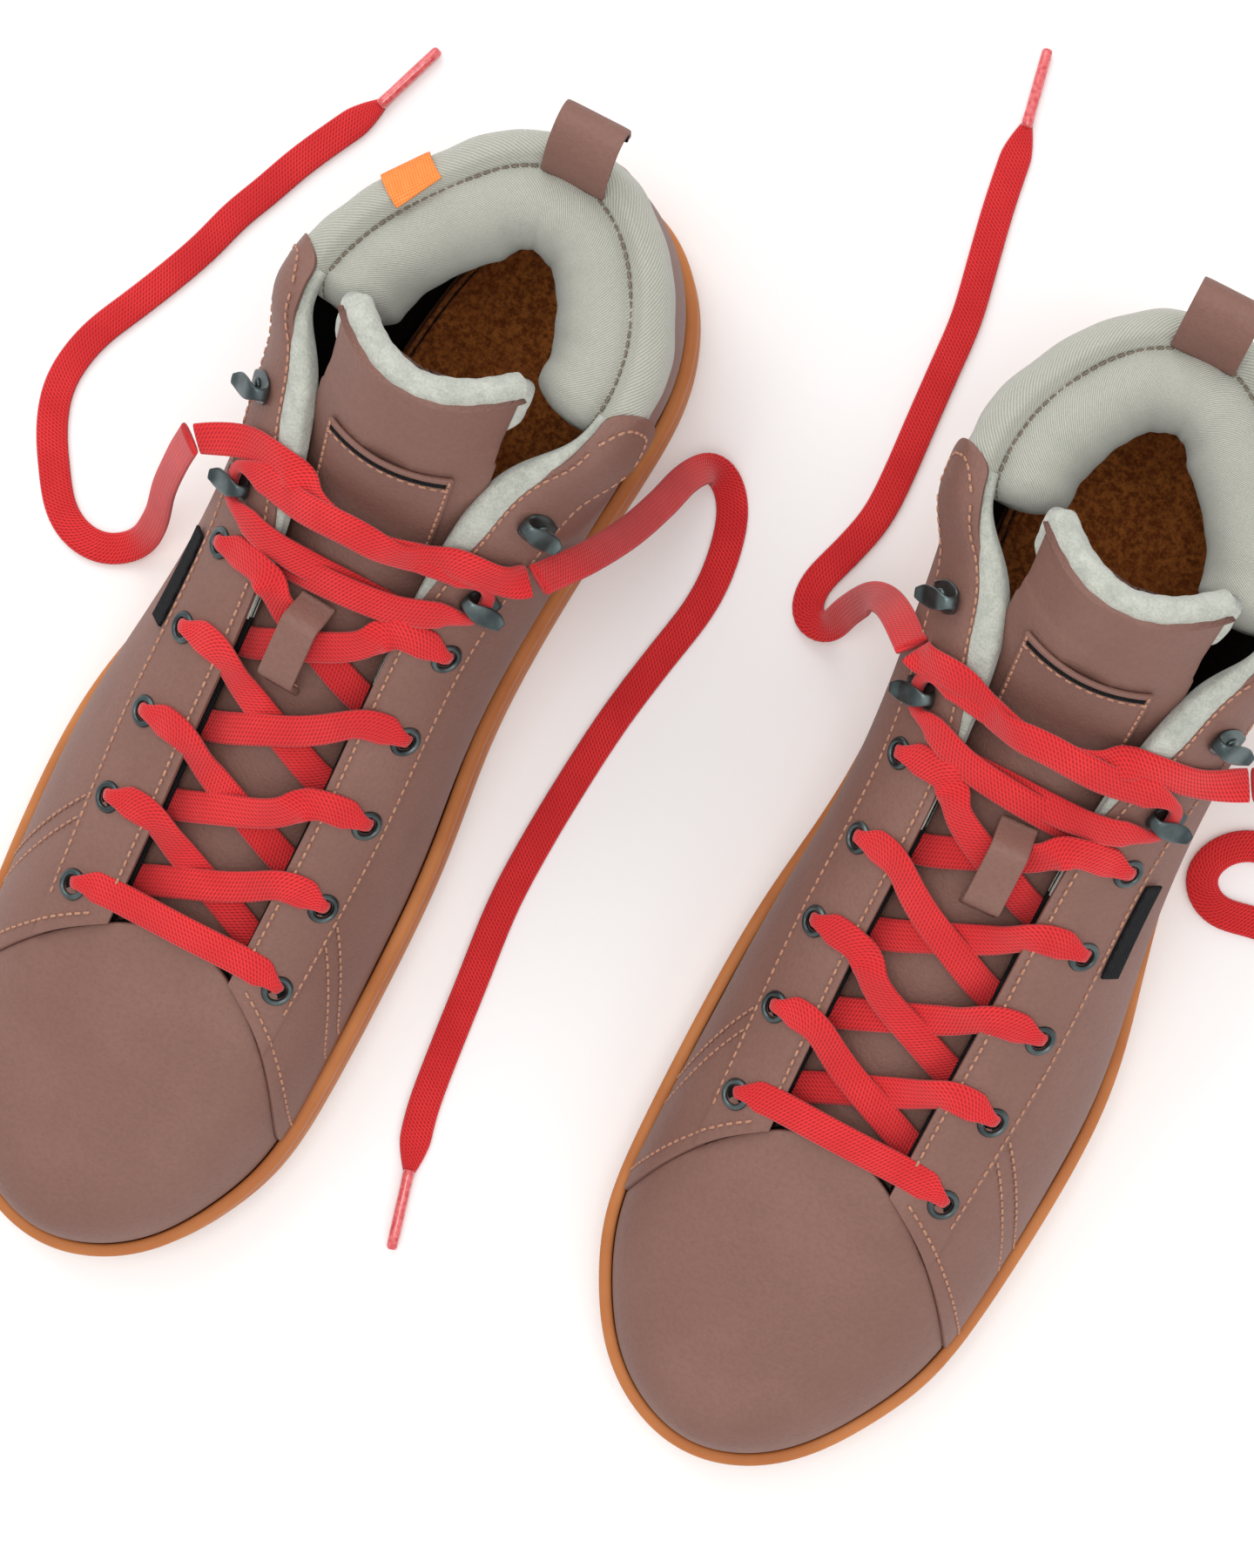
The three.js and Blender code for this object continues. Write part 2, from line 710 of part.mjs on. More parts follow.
// ---------------------------------------------------------------- speed hooks
const HOOK_LIFT = 0.7; // the flat base bridges the curve of the facing
const HOOK_WIDTH = 5;
const HOOK_METAL = 1;
const HOOK_MOUTH = 3;
const HOOK_REACH = 9;

function speedHook(seat) {
  const back = -0.55 * HOOK_REACH;
  const floor = HOOK_LIFT;
  const roof = floor + HOOK_METAL + HOOK_MOUTH;
  const side = new THREE.Shape();
  side.moveTo(back, floor);
  side.lineTo(back + HOOK_REACH, floor);
  side.lineTo(back + HOOK_REACH, floor + HOOK_METAL);
  side.lineTo(back + HOOK_METAL, floor + HOOK_METAL);
  side.lineTo(back + HOOK_METAL, roof);
  side.lineTo(back + 0.8 * HOOK_REACH, roof);
  side.lineTo(back + HOOK_REACH, roof + HOOK_METAL);
  side.lineTo(back + HOOK_REACH - HOOK_METAL, roof + 1.6 * HOOK_METAL);
  side.lineTo(back + 0.7 * HOOK_REACH, roof + HOOK_METAL);
  side.lineTo(back, roof + HOOK_METAL);
  const hook = new THREE.ExtrudeGeometry(side, { depth: HOOK_WIDTH, bevelEnabled: false });
  hook.translate(0, 0, -HOOK_WIDTH / 2);
  hook.rotateX(Math.PI / 2);
  return placed(hook, seat.at, seat.up, seat.out);
}

// ---------------------------------------------------------------- tongue
const TONGUE_SIDE_V = 0.84;
const TONGUE_HINGE = { along: 209, side: 3, height: 129 };

// A level row across the tongue: two edge points and how far the middle stands above their chord.
function tongueRow(inner, outer, crown, steps = 8) {
  return spread(0, 1, steps).map((f) => {
    const point = inner.clone().lerp(outer, f);
    return point.add(crown.clone().multiplyScalar(4 * f * (1 - f)));
  });
}

const TONGUE_RIBS = [
  { s: 7.8, crown: 5.5 },
  { s: 7.1, crown: 7.3 },
  { s: 6.5, crown: 9.5 },
  { s: 6, crown: 11.5 },
  { s: 5.6, crown: 13 },
];
const TUCKED_RIBS = [8.45, 8 + VAMP_SEAM_S]; // the front of the tongue lies under the vamp
const TUCKED_V = 0.84;

// A row on the underside of the vamp, from its inner side over the ridge to its outer side.
function tuckedRow(s, steps = 8) {
  return spread(-1, 1, steps).map((f) => {
    const side = f < 0 ? -1 : 1;
    const v = 1 - (1 - TUCKED_V) * Math.abs(f);
    return underVamp(side * s, v, WALL + GAP);
  });
}

function lowerTongueRows() {
  const rows = TONGUE_RIBS.map(({ s, crown }) => {
    const edge = (side) => under(side * s, TONGUE_SIDE_V, UNDER_LACE);
    return tongueRow(edge(-1), edge(1), vec(0, 0, crown));
  });
  return [...TUCKED_RIBS.map((s) => tuckedRow(s)), ...rows, freeTongueRow(-TOP_SEAM)];
}

// Rows of the free, padded top, `rise` above the hinge along the tongue.
const TONGUE_TOP = 22;
const TOP_SEAM = 0.6; // of each half of the tongue from the line they fold along
const TONGUE_HALF_WIDTH = 16.5; // at the hinge; it widens upwards
const TONGUE_LEAN = 0.72; // height gained for each step back
function freeTongueRow(rise) {
  const middle = bootPoint([TONGUE_HINGE.along, TONGUE_HINGE.side], TONGUE_HINGE.height * UPWARD);
  const back = rise * 0.55;
  middle.add(vec(0, back, rise * TONGUE_LEAN));
  const edge = (side) =>
    middle.clone().add(vec(side * (TONGUE_HALF_WIDTH + rise * 0.3), 9 + rise * 0.15, -7));
  return tongueRow(edge(-1), edge(1), vec(0, -9 - rise * 0.15, 7));
}

function thickened(rows, thickness) {
  const normals = gridNormals(rows);
  const sign = Math.sign(normals[1][4].z);
  return sheetBetween(rows, offsetGrid(rows, normals, -sign * thickness));
}

function lowerTongue() {
  return thickened(lowerTongueRows(), TONGUE_THICKNESS);
}

function upperTongue() {
  return thickened(spread(TOP_SEAM, TONGUE_TOP, 3).map(freeTongueRow), TONGUE_PAD);
}

// ---------------------------------------------------------------- strips laid on other pieces
// A strip through stops of {place, flat direction, width}, with the given outline as its section:
// [share of the half width, share of the half thickness] all the way round.
const OBLONG = [
  [1, 1],
  [-1, 1],
  [-1, -1],
  [1, -1],
];
const ROUNDED = [
  [1, 0.4],
  [0.85, 1],
  [-0.85, 1],
  [-1, 0.4],
  [-1, -0.4],
  [-0.85, -1],
  [0.85, -1],
  [1, -0.4],
];
function ribbon(stops, thickness, section = OBLONG) {
  const rings = stops.map((stop, i) => {
    const before = stops[Math.max(i - 1, 0)].at;
    const after = stops[Math.min(i + 1, stops.length - 1)].at;
    const ahead = after.clone().sub(before).normalize();
    const flat = stop.flat.clone().addScaledVector(ahead, -stop.flat.dot(ahead)).normalize();
    const across = ahead.clone().cross(flat);
    return section.map(([a, b]) =>
      stop.at
        .clone()
        .addScaledVector(across, (a * stop.width) / 2)
        .addScaledVector(flat, (b * thickness) / 2),
    );
  });
  return loft(rings);
}

const DOWN = vec(0, 0, -1);
// The highest place on the meshes at (x, y) and the way its face looks.
function bedAt(meshes, x, y) {
  const ray = new THREE.Raycaster(vec(x, y, 4 * COLLAR_HEIGHT), DOWN);
  const [hit] = ray.intersectObjects(meshes);
  if (!hit) return { z: 0, up: UP.clone() };
  const up = hit.face.normal.clone();
  return { z: hit.point.z, up: up.z < 0 ? up.negate() : up };
}

const LOOK_AHEAD = 2.2; // how far on either side of a stop the lace has to clear its bed
// Lays a lace that runs along `ahead` on the meshes at (x, y), clear of them over its whole width.
function laidOn(meshes, { x, y }, ahead, height) {
  const { z, up } = bedAt(meshes, x, y);
  const at = vec(x, y, z).addScaledVector(up, height);
  const across = ahead.clone().cross(up).normalize();
  const along = up.clone().cross(across);
  const sunk = [-0.55, -0.25, 0, 0.25, 0.55].flatMap((share) =>
    [-LOOK_AHEAD, 0, LOOK_AHEAD].map((step) => {
      const place = at.clone().addScaledVector(across, share * LACE_WIDTH);
      place.addScaledVector(along, step);
      return bedAt(meshes, place.x, place.y).z + height - place.z;
    }),
  );
  return { at: at.addScaledVector(UP, Math.max(0, ...sunk)), up };
}

function solidMesh(geometry) {
  const skin = new THREE.MeshStandardMaterial({ side: THREE.DoubleSide });
  return new THREE.Mesh(geometry, skin);
}

// A point of the tongue: row number r (with fractions) and share f from the inner to the outer edge.
function tonguePoint(rows, r, f) {
  const i = Math.min(Math.floor(r), rows.length - 2);
  const columns = rows[0].length - 1;
  const j = Math.min(Math.floor(f * columns), columns - 1);
  const low = rows[i][j].clone().lerp(rows[i][j + 1], f * columns - j);
  const high = rows[i + 1][j].clone().lerp(rows[i + 1][j + 1], f * columns - j);
  return low.lerp(high, r - i);
}

function onTongue(rows, r, f, height) {
  const step = 0.05;
  const across = tonguePoint(rows, r, f + step).sub(tonguePoint(rows, r, f - step));
  const along = tonguePoint(rows, r + step, f).sub(tonguePoint(rows, r - step, f));
  return tonguePoint(rows, r, f).addScaledVector(across.cross(along).normalize(), height);
}

const PATCH = { rows: [5.75, 6.93], shares: [0.22, 0.78], thickness: 1.1 };
function tonguePatch(rows) {
  const lines = spread(...PATCH.rows, 5);
  const columns = spread(...PATCH.shares, 6);
  const layer = (height) => lines.map((r) => columns.map((f) => onTongue(rows, r, f, height)));
  return sheetBetween(layer(2 * GAP + PATCH.thickness), layer(2 * GAP));
}

const KEEPER = { rows: [3.94, 4.76], middle: 0.55, width: 9, thickness: 1.5, arch: 8 };
function laceKeeper(rows) {
  const stops = spread(0, 1, 8).map((f) => {
    const r = KEEPER.rows[0] + (KEEPER.rows[1] - KEEPER.rows[0]) * f;
    const lift = KEEPER.arch * Math.min(1, 8 * f, 8 * (1 - f));
    const at = onTongue(rows, r, KEEPER.middle, 4 * GAP + KEEPER.thickness / 2 + lift);
    return { at, flat: UP, width: KEEPER.width };
  });
  return ribbon(stops, KEEPER.thickness);
}

// ---------------------------------------------------------------- lacing
const HOOK_LANE = HOOK_LIFT + HOOK_METAL + HOOK_MOUTH / 2; // middle of the lace inside a hook
const CORNER = Math.SQRT1_2;
const BED_CLEARANCE = 1.05; // under a lace that lies across the curved tongue

function stop(at, flat, width = LACE_WIDTH) {
  return { at, flat, width };
}

// In through an eyelet from outside and back under the facing to its inner edge.
function throughEyelet(seat, turn) {
  const { s, at, up, out } = seat;
  const place = (across, height) => at.clone().addScaledVector(out, across).addScaledVector(up, height);
  const flat = (a, b) => out.clone().multiplyScalar(a).addScaledVector(up, b).multiplyScalar(turn);
  const level = (v, sign) => shaftNormal(s, v).multiplyScalar(sign * turn);
  const beside = HARDWARE_V + 0.095;
  const pinch = LACE_PINCH - 0.2;
  return [
    stop(under(s, beside, -LACE_THICKNESS / 2 - 0.9), level(beside, 1)),
    stop(place(-2.8, 2.6), flat(0, 1), 0.55 * LACE_WIDTH),
    stop(place(0, 2.5), flat(CORNER, CORNER), pinch),
    stop(place(0, -1), flat(1, 0), pinch),
    stop(place(0, -LACE_DEPTH), flat(CORNER, -CORNER), pinch),
    stop(under(s, beside, LACE_DEPTH), level(beside, -1), 0.8 * LACE_WIDTH),
    stop(under(s, 0.99, LACE_DEPTH), level(0.99, -1)),
  ];
}

// Over the tongue from one facing to the other; `lift` carries it over a strand that lies there.
// Only the halves that run over the edge of a facing lie on it as well.
function acrossTongue(from, to, turn, lift, beds, over) {
  const ahead = to.clone().sub(from);
  return [0.07, 0.15, 0.27, 0.4, 0.52, 0.64, 0.76, 0.85, 0.93].map((f) => {
    const raised = Math.abs(f - 0.5) < 0.3 ? lift : 0;
    const height = LACE_THICKNESS / 2 + BED_CLEARANCE + raised;
    const onFacing = over[f < 0.5 ? 0 : 1];
    const bed = onFacing ? beds.all : beds.tongue;
    const spare = onFacing ? 5 * GAP : 0;
    const { at, up } = laidOn(bed, from.clone().lerp(to, f), ahead, height + spare);
    return stop(at, up.multiplyScalar(turn));
  });
}

function facingUp(s) {
  const side = Math.sign(s);
  return shaftPoint(s - 0.05 * side, HARDWARE_V).sub(shaftPoint(s, HARDWARE_V)).normalize();
}

function roundHook(seat, turn) {
  const ahead = facingUp(seat.s);
  return [
    [-11, -6.5, 2.4, LACE_WIDTH],
    [-4.5, -5.3, HOOK_LANE, LACE_PINCH],
    [-0.9, -3.6, HOOK_LANE, LACE_PINCH],
    [-0.4, 0, HOOK_LANE, LACE_PINCH],
    [-0.9, 3.6, HOOK_LANE, LACE_PINCH],
    [-4.5, 5.3, HOOK_LANE, LACE_PINCH],
    [-11, 6.5, 2.4, LACE_WIDTH],
  ].map(([across, along, height, width]) => {
    const at = seat.at.clone().addScaledVector(seat.out, across);
    at.addScaledVector(ahead, along).addScaledVector(seat.up, height);
    return stop(at, seat.up.clone().multiplyScalar(turn), width);
  });
}

const OVER_EDGE = 2.1; // of the middle of the lace over the edge of the facing
const BAND_RIB = 5.42; // where the finished lace leaves over the facing, between the hooks
const BAND_LIFT = LACE_THICKNESS + 2 * GAP;

// One strand from its lowest eyelet up to the hook and back across to the other side.
function strand(startSide, over, beds) {
  const sides = { 1: HARDWARE.outer, "-1": HARDWARE.inner };
  const path = [];
  let side = startSide;
  let turn = 1;
  for (let k = 0; k < EYELETS; k++) {
    path.push(...throughEyelet(sides[side].eyelets[k], turn));
    turn = -turn;
    const from = path[path.length - 1].at;
    const last = k + 1 === EYELETS;
    const seat = last ? sides[-side].hooks[0] : sides[-side].eyelets[k + 1];
    const to = last
      ? roundHook(seat, turn)[0].at
      : under(seat.s, 1, -OVER_EDGE);
    const crossesOver = side > 0;
    const lift = crossesOver ? BAND_LIFT : 0;
    path.push(...acrossTongue(from, to, turn, lift, beds, [false, true]));
    if (!last) path.push(stop(to, seat.up.clone().multiplyScalar(turn)));
    side = -side;
  }
  const hook = sides[side].hooks[0];
  path.push(...roundHook(hook, turn));
  const leave = -side * BAND_RIB;
  const height = LACE_THICKNESS / 2 + BED_CLEARANCE;
  const lifted = height + (over ? BAND_LIFT : 0);
  const to = under(leave, 1, -lifted - 1);
  const from = path[path.length - 1].at;
  const lift = BAND_LIFT * (over ? 2 : 1);
  path.push(...acrossTongue(from, to, turn, lift, beds, [true, true]));
  for (const [v, depth] of [
    [0.97, lifted + 0.8],
    [0.88, lifted + 0.4],
    [0.8, lifted],
  ]) {
    const flat = shaftNormal(leave, v).multiplyScalar(turn);
    path.push(stop(under(leave, v, -depth), flat));
  }
  return path;
}

function laceStops(beds) {
  const outer = strand(1, false, beds);
  const inner = strand(-1, true, beds);
  const from = outer[0].at;
  const to = inner[0].at;
  const bar = [0.12, 0.26, 0.4, 0.5, 0.6, 0.74, 0.88].map((f) => {
    const height = LACE_THICKNESS / 2 + BED_CLEARANCE;
    const { at, up } = laidOn(beds.all, from.clone().lerp(to, f), to.clone().sub(from), height);
    return stop(at, up);
  });
  return [...outer.reverse(), ...bar, ...inner];
}

// ---------------------------------------------------------------- heel loop, tag and tab
const LOOP_BASE = { along: 282.5, side: -5, height: 132 };
function pullLoop() {
  const base = bootPoint([LOOP_BASE.along, LOOP_BASE.side], LOOP_BASE.height * UPWARD);
  const rise = PULL_LOOP_HEIGHT;
  const stops = [
    [0, 0],
    [0.12, 0.25],
    [0.3, 0.5],
    [0.48, 0.62],
    [0.6, 0.6],
    [0.64, 0.45],
    [0.58, 0.25],
    [0.5, 0.1],
  ].map(([back, up]) => {
    const at = base.clone().add(vec(0, back * rise, up * rise + PULL_LOOP_THICKNESS / 2));
    return { at, flat: vec(0, -1, 0.5), width: PULL_LOOP_WIDTH };
  });
  const middle = vec(0, base.y + 0.4 * rise, base.z + 0.3 * rise);
  for (const each of stops) each.flat = each.at.clone().sub(middle).setX(0);
  return ribbon(stops, PULL_LOOP_THICKNESS);
}

const TAG = { ribs: [6.0, 6.75], width: 6.5, thickness: 0.8 };
function sideTag() {
  const stops = spread(...TAG.ribs, 4).map((s) => ({
    at: under(s, SEAM_V - 0.035, -2 * GAP - TAG.thickness / 2),
    flat: shaftNormal(s, SEAM_V - 0.035),
    width: TAG.width,
  }));
  return ribbon(stops, TAG.thickness);
}

const TAB = { rib: 2.6, width: 12, thickness: 0.6 };
function collarTab() {
  const stops = [0.82, 0.88, 0.94, 0.985].map((v) => ({
    at: under(TAB.rib, v, -2 * GAP - TAB.thickness / 2),
    flat: shaftNormal(TAB.rib, v),
    width: TAB.width,
  }));
  return ribbon(stops, TAB.thickness);
}

// ---------------------------------------------------------------- free ends of the laces
// Each route runs from the facing edge down to the ground and along it; the last point but one is
// where the aglet begins. Places are in the frame of the pair.
const FREE_ENDS = {
  right_outer: [
    [-127, 28, 100],
    [-131, 23, 80],
    [-136, 16, 50],
    [-140, 8, 18],
    [-144, 1, 3],
    [-151, -4, 1],
    [-159, -4, 1],
    [-166, 0, 1],
    [-172, 8, 1],
    [-178, 18, 1],
    [-181, 29, 1],
    [-179, 42, 1],
    [-173, 55, 1],
    [-168, 66, 1],
    [-164, 76, 1],
    [-161, 86, 1],
    [-157, 95, 1],
    [-153, 105, 1],
    [-148, 115, 1],
    [-141, 128, 1],
    [-135, 145, 1],
  ],
  right_inner: [
    [-40, 36, 101],
    [-34, 46, 86],
    [-30, 57, 64],
    [-28, 68, 42],
    [-27, 78, 22],
    [-24, 84, 8],
    [-19, 83, 1.6],
    [-14, 76, 1],
    [-11, 63, 1],
    [-11, 51, 1],
    [-14, 35, 1],
    [-17, 17, 1],
    [-19, -4, 1],
    [-20, -22, 1],
    [-20, -38, 1],
    [-18, -58, 1],
    [-16, -78, 1],
    [-14, -93, 1],
    [-10, -107, 1],
    [-5, -126, 1],
  ],
  left_inner: [
    [43, 62, 100],
    [36, 68, 84],
    [31, 71, 62],
    [27, 71, 40],
    [23, 67, 18],
    [20, 62, 4],
    [14, 62, 1],
    [12, 70, 1],
    [15, 80, 1],
    [18, 92, 1],
    [18, 104, 1],
    [17, 118, 1],
    [16, 133, 1],
    [15, 147, 1],
    [12, 162, 1],
    [9, 177, 1],
    [6, 197, 1],
    [2, 216, 1],
  ],
  left_outer: [
    [127, 70, 96],
    [132, 73, 78],
    [136, 76, 52],
    [139, 78, 26],
    [143, 82, 5],
    [150, 88, 1],
    [160, 90, 1],
    [168, 84, 1],
    [169, 74, 1],
    [162, 66, 1],
    [150, 64, 1],
    [139, 63, 1],
    [132, 57, 1],
    [131, 49, 1],
    [138, 44, 1],
    [148, 46, 1],
    [160, 47, 1],
    [174, 45, 1],
    [186, 40, 1],
    [196, 33, 1],
    [206, 17, 1],
  ],
};

const FLOOR_CLEARANCE = 0.15;
const AGLET_SEAT = 0.8; // from the end of the lace to its aglet
function freeEnd(points) {
  const route = points.slice(0, -1).map(([x, y, z]) => vec(x, y, z));
  const curve = new THREE.CatmullRomCurve3(route, false, "centripetal");
  const steps = Math.ceil(curve.getLength() / (2 * LACE_WIDTH));
  const stops = spread(0, 1, steps).map((f) => {
    const at = curve.getPointAt(f);
    at.z = Math.max(at.z, LACE_THICKNESS / 2 + FLOOR_CLEARANCE);
    const sideways = curve.getTangentAt(f).cross(UP).normalize();
    return { at, flat: sideways.cross(curve.getTangentAt(f)), width: LACE_WIDTH };
  });
  return ribbon(stops, LACE_THICKNESS, ROUNDED);
}

function aglet(points) {
  const [from, to] = points.slice(-2).map(([x, y]) => vec(x, y, AGLET_RADIUS + GAP));
  const ahead = to.clone().sub(from).normalize();
  const rod = new THREE.CylinderGeometry(AGLET_RADIUS, AGLET_RADIUS, AGLET_LENGTH, 8);
  rod.rotateX(Math.PI / 2);
  const middle = from.clone().addScaledVector(ahead, AGLET_LENGTH / 2 + AGLET_SEAT);
  return placed(rod, middle, ahead, UP);
}

// ---------------------------------------------------------------- assembly
function named(name, geometry, kind) {
  const mesh = new THREE.Mesh(geometry, kind);
  mesh.name = name;
  return mesh;
}

function buildBoot(foot) {
  const boot = new THREE.Group();
  const add = (name, geometry, kind) => boot.add(named(foot + "_" + name, geometry, kind));
  const allEyelets = [...HARDWARE.outer.eyelets, ...HARDWARE.inner.eyelets];
  const outerEyestay = shaftPanel(outerFacing, eyestayRows, OUTER_LAYER, LEATHER);
  const innerEyestay = shaftPanel(innerFacing, eyestayRows, OUTER_LAYER, LEATHER);
  const rows = lowerTongueRows();
  const tongue = lowerTongue();
  const patch = tonguePatch(rows);
  const vamp = vampLayer(OUTER_LAYER, LEATHER);
  const lining = drilledPanel(quarterLining(), allEyelets);
  const lowBeds = [tongue, patch, vamp].map(solidMesh);
  const facings = [lining, outerEyestay, innerEyestay].map(solidMesh);
  const beds = { tongue: lowBeds, all: [...lowBeds, ...facings] };

  add("outsole", outsole(), finish.gum);
  add("insole_board", slab(CUP_FLOOR + GAP, BOARD_THICKNESS), finish.black);
  const footbedFloor = CUP_FLOOR + BOARD_THICKNESS + 2 * GAP;
  add("footbed", slab(footbedFloor, FOOTBED_THICKNESS), finish.cork);
  add("vamp", vamp, finish.leather);
  add("vamp_lining", vampLayer(LINING_LAYER, LINING), finish.felt);
  const outerQuarter = [LINE.heel + 1, LINE.outerThroat];
  const innerQuarter = [LINE.innerThroat, LINE.heel];
  add("quarter_outer", shaftPanel(outerQuarter, quarterRows, OUTER_LAYER, LEATHER), finish.leather);
  add("quarter_inner", shaftPanel(innerQuarter, quarterRows, OUTER_LAYER, LEATHER), finish.leather);
  add("eyestay_outer", drilledPanel(outerEyestay, HARDWARE.outer.eyelets), finish.leather);
  add("eyestay_inner", drilledPanel(innerEyestay, HARDWARE.inner.eyelets), finish.leather);
  add("eyelets_outer", eyeletRow(1), finish.metal);
  add("eyelets_inner", eyeletRow(-1), finish.metal);
  const counterLines = [LINE.heel - 4, LINE.heel + 5];
  const counterRows = [ROW.cup, ROW.counter];
  const counter = shaftPanel(counterLines, counterRows, STIFFENER_LAYER, STIFFENER);
  add("heel_counter", counter, finish.black);
  add("lining", lining, finish.felt);
  add("collar", collarPad(), finish.felt);
  for (const [side, set] of Object.entries(HARDWARE)) {
    add("hook_lower_" + side, speedHook(set.hooks[0]), finish.metal);
    add("hook_upper_" + side, speedHook(set.hooks[1]), finish.metal);
  }
  add("tongue_lower", tongue, finish.leather);
  add("tongue_top", upperTongue(), finish.leather);
  add("tongue_patch", patch, finish.leather);
  add("lace_keeper", laceKeeper(rows), finish.leather);
  add("lace", ribbon(laceStops(beds), LACE_THICKNESS), finish.lace);
  add("pull_loop", pullLoop(), finish.leather);
  add("side_tag", sideTag(), finish.black);
  return boot;
}

const pair = new THREE.Group();
const leftBoot = buildBoot("left");
leftBoot.position.set(BOOT_SPACING / 2, BOOT_STAGGER / 2, 0);
const rightBoot = buildBoot("right");
rightBoot.add(named("right_collar_tab", collarTab(), finish.tab));
rightBoot.scale.x = -1;
rightBoot.position.set(-BOOT_SPACING / 2, -BOOT_STAGGER / 2, 0);
pair.add(leftBoot, rightBoot);
for (const [name, points] of Object.entries(FREE_ENDS)) {
  pair.add(named(name + "_lace_end", freeEnd(points), finish.lace));
  pair.add(named(name + "_aglet", aglet(points), finish.aglet));
}

export default pair;
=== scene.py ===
"""A pair of lace-up boots: cupped gum soles, smooth leather uppers, padded felt collars, flat laces.

Lengths in the tables are millimetres of one left boot: x to its outer side, y towards its heel, z up.
The two boots are that shape and its mirror image, set into the shared frame in metres.
"""
import math

import bmesh
import bpy
import numpy as np
from mathutils import Matrix


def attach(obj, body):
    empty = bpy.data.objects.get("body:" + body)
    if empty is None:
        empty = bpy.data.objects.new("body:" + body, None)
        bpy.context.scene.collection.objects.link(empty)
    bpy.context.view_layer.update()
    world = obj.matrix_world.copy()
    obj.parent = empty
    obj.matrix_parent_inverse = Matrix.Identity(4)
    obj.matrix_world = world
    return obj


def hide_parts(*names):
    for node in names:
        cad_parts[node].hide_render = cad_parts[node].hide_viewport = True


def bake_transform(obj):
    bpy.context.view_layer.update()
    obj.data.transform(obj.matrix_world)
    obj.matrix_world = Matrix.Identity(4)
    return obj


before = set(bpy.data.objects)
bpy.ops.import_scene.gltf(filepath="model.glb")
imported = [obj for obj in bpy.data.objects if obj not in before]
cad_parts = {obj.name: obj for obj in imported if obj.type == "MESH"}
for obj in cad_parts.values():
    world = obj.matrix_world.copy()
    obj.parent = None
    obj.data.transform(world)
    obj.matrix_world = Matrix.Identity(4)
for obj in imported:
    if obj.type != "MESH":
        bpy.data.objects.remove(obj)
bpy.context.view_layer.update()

MM = 0.001


def unit(vectors):
    """Each vector divided by its own length."""
    size = np.linalg.norm(vectors, axis=-1, keepdims=True)
    return vectors / np.maximum(size, 1e-9)


# ---------------------------------------------------------------- camera
CAMERA_AT = np.array([0.06755, -0.0012, 1.170])
CAMERA_TOWARDS = np.array([-0.0066, 0.0044, 0.0])
VIEW_TURN = math.radians(27.59)
FOCAL_LENGTH, SENSOR_WIDTH = 107.38, 36.0
TURN = 2 * math.pi


def make_camera():
    """Looks down at the pair; the view's level line is turned by VIEW_TURN from x."""
    data = bpy.data.cameras.new("camera")
    data.lens, data.sensor_width = FOCAL_LENGTH, SENSOR_WIDTH
    ahead = unit(CAMERA_TOWARDS - CAMERA_AT)
    level = np.array([math.cos(VIEW_TURN), math.sin(VIEW_TURN), 0.0])
    right = unit(level - np.array([0, 0, 1.0]) * (ahead @ level) / ahead[2])
    up = np.cross(right, ahead)
    turn = np.eye(4)
    turn[:3, 0], turn[:3, 1], turn[:3, 2], turn[:3, 3] = right, up, -ahead, CAMERA_AT
    camera = bpy.data.objects.new("camera", data)
    camera.matrix_world = Matrix(turn.tolist())
    bpy.context.scene.collection.objects.link(camera)
    bpy.context.scene.camera = camera


make_camera()


# ---------------------------------------------------------------- shader writing
def linear(red, green, blue):
    """A screen colour of 0 to 255 as the linear colour that a shader takes."""
    share = np.array([red, green, blue]) / 255
    value = np.where(share <= 0.04045, share / 12.92, ((share + 0.055) / 1.055) ** 2.4)
    return (*value.tolist(), 1.0)


class Amount:
    """A number that varies over a surface; arithmetic on it adds Math nodes."""

    def __init__(self, paint, socket):
        self.paint, self.socket = paint, socket

    def math(self, operation, *values):
        """A Math node of the given operation on the given values."""
        made = self.paint.node("ShaderNodeMath", {"operation": operation}, dict(enumerate(values)))
        return Amount(self.paint, made.outputs[0])

    def __add__(self, other):
        return self.math("ADD", self, other)

    def __sub__(self, other):
        return self.math("SUBTRACT", self, other)

    def __rsub__(self, other):
        return self.math("SUBTRACT", other, self)

    def __mul__(self, other):
        return self.math("MULTIPLY", self, other)

    __radd__, __rmul__ = __add__, __mul__

    def sine(self):
        return self.math("SINE", self)

    def size(self):
        return self.math("ABSOLUTE", self)

    def between(self, low, high):
        """0 below low, 1 above high, and a smooth step from one to the other."""
        made = self.paint.node(
            "ShaderNodeMapRange",
            {"interpolation_type": "SMOOTHSTEP"},
            {"Value": self, "From Min": low, "From Max": high},
        )
        return Amount(self.paint, made.outputs[0])


# A Mix node's sockets when it mixes colours: factor, first and second colour, and the result.
MIX_SHARE, MIX_FIRST, MIX_SECOND, MIX_RESULT = 0, 6, 7, 2


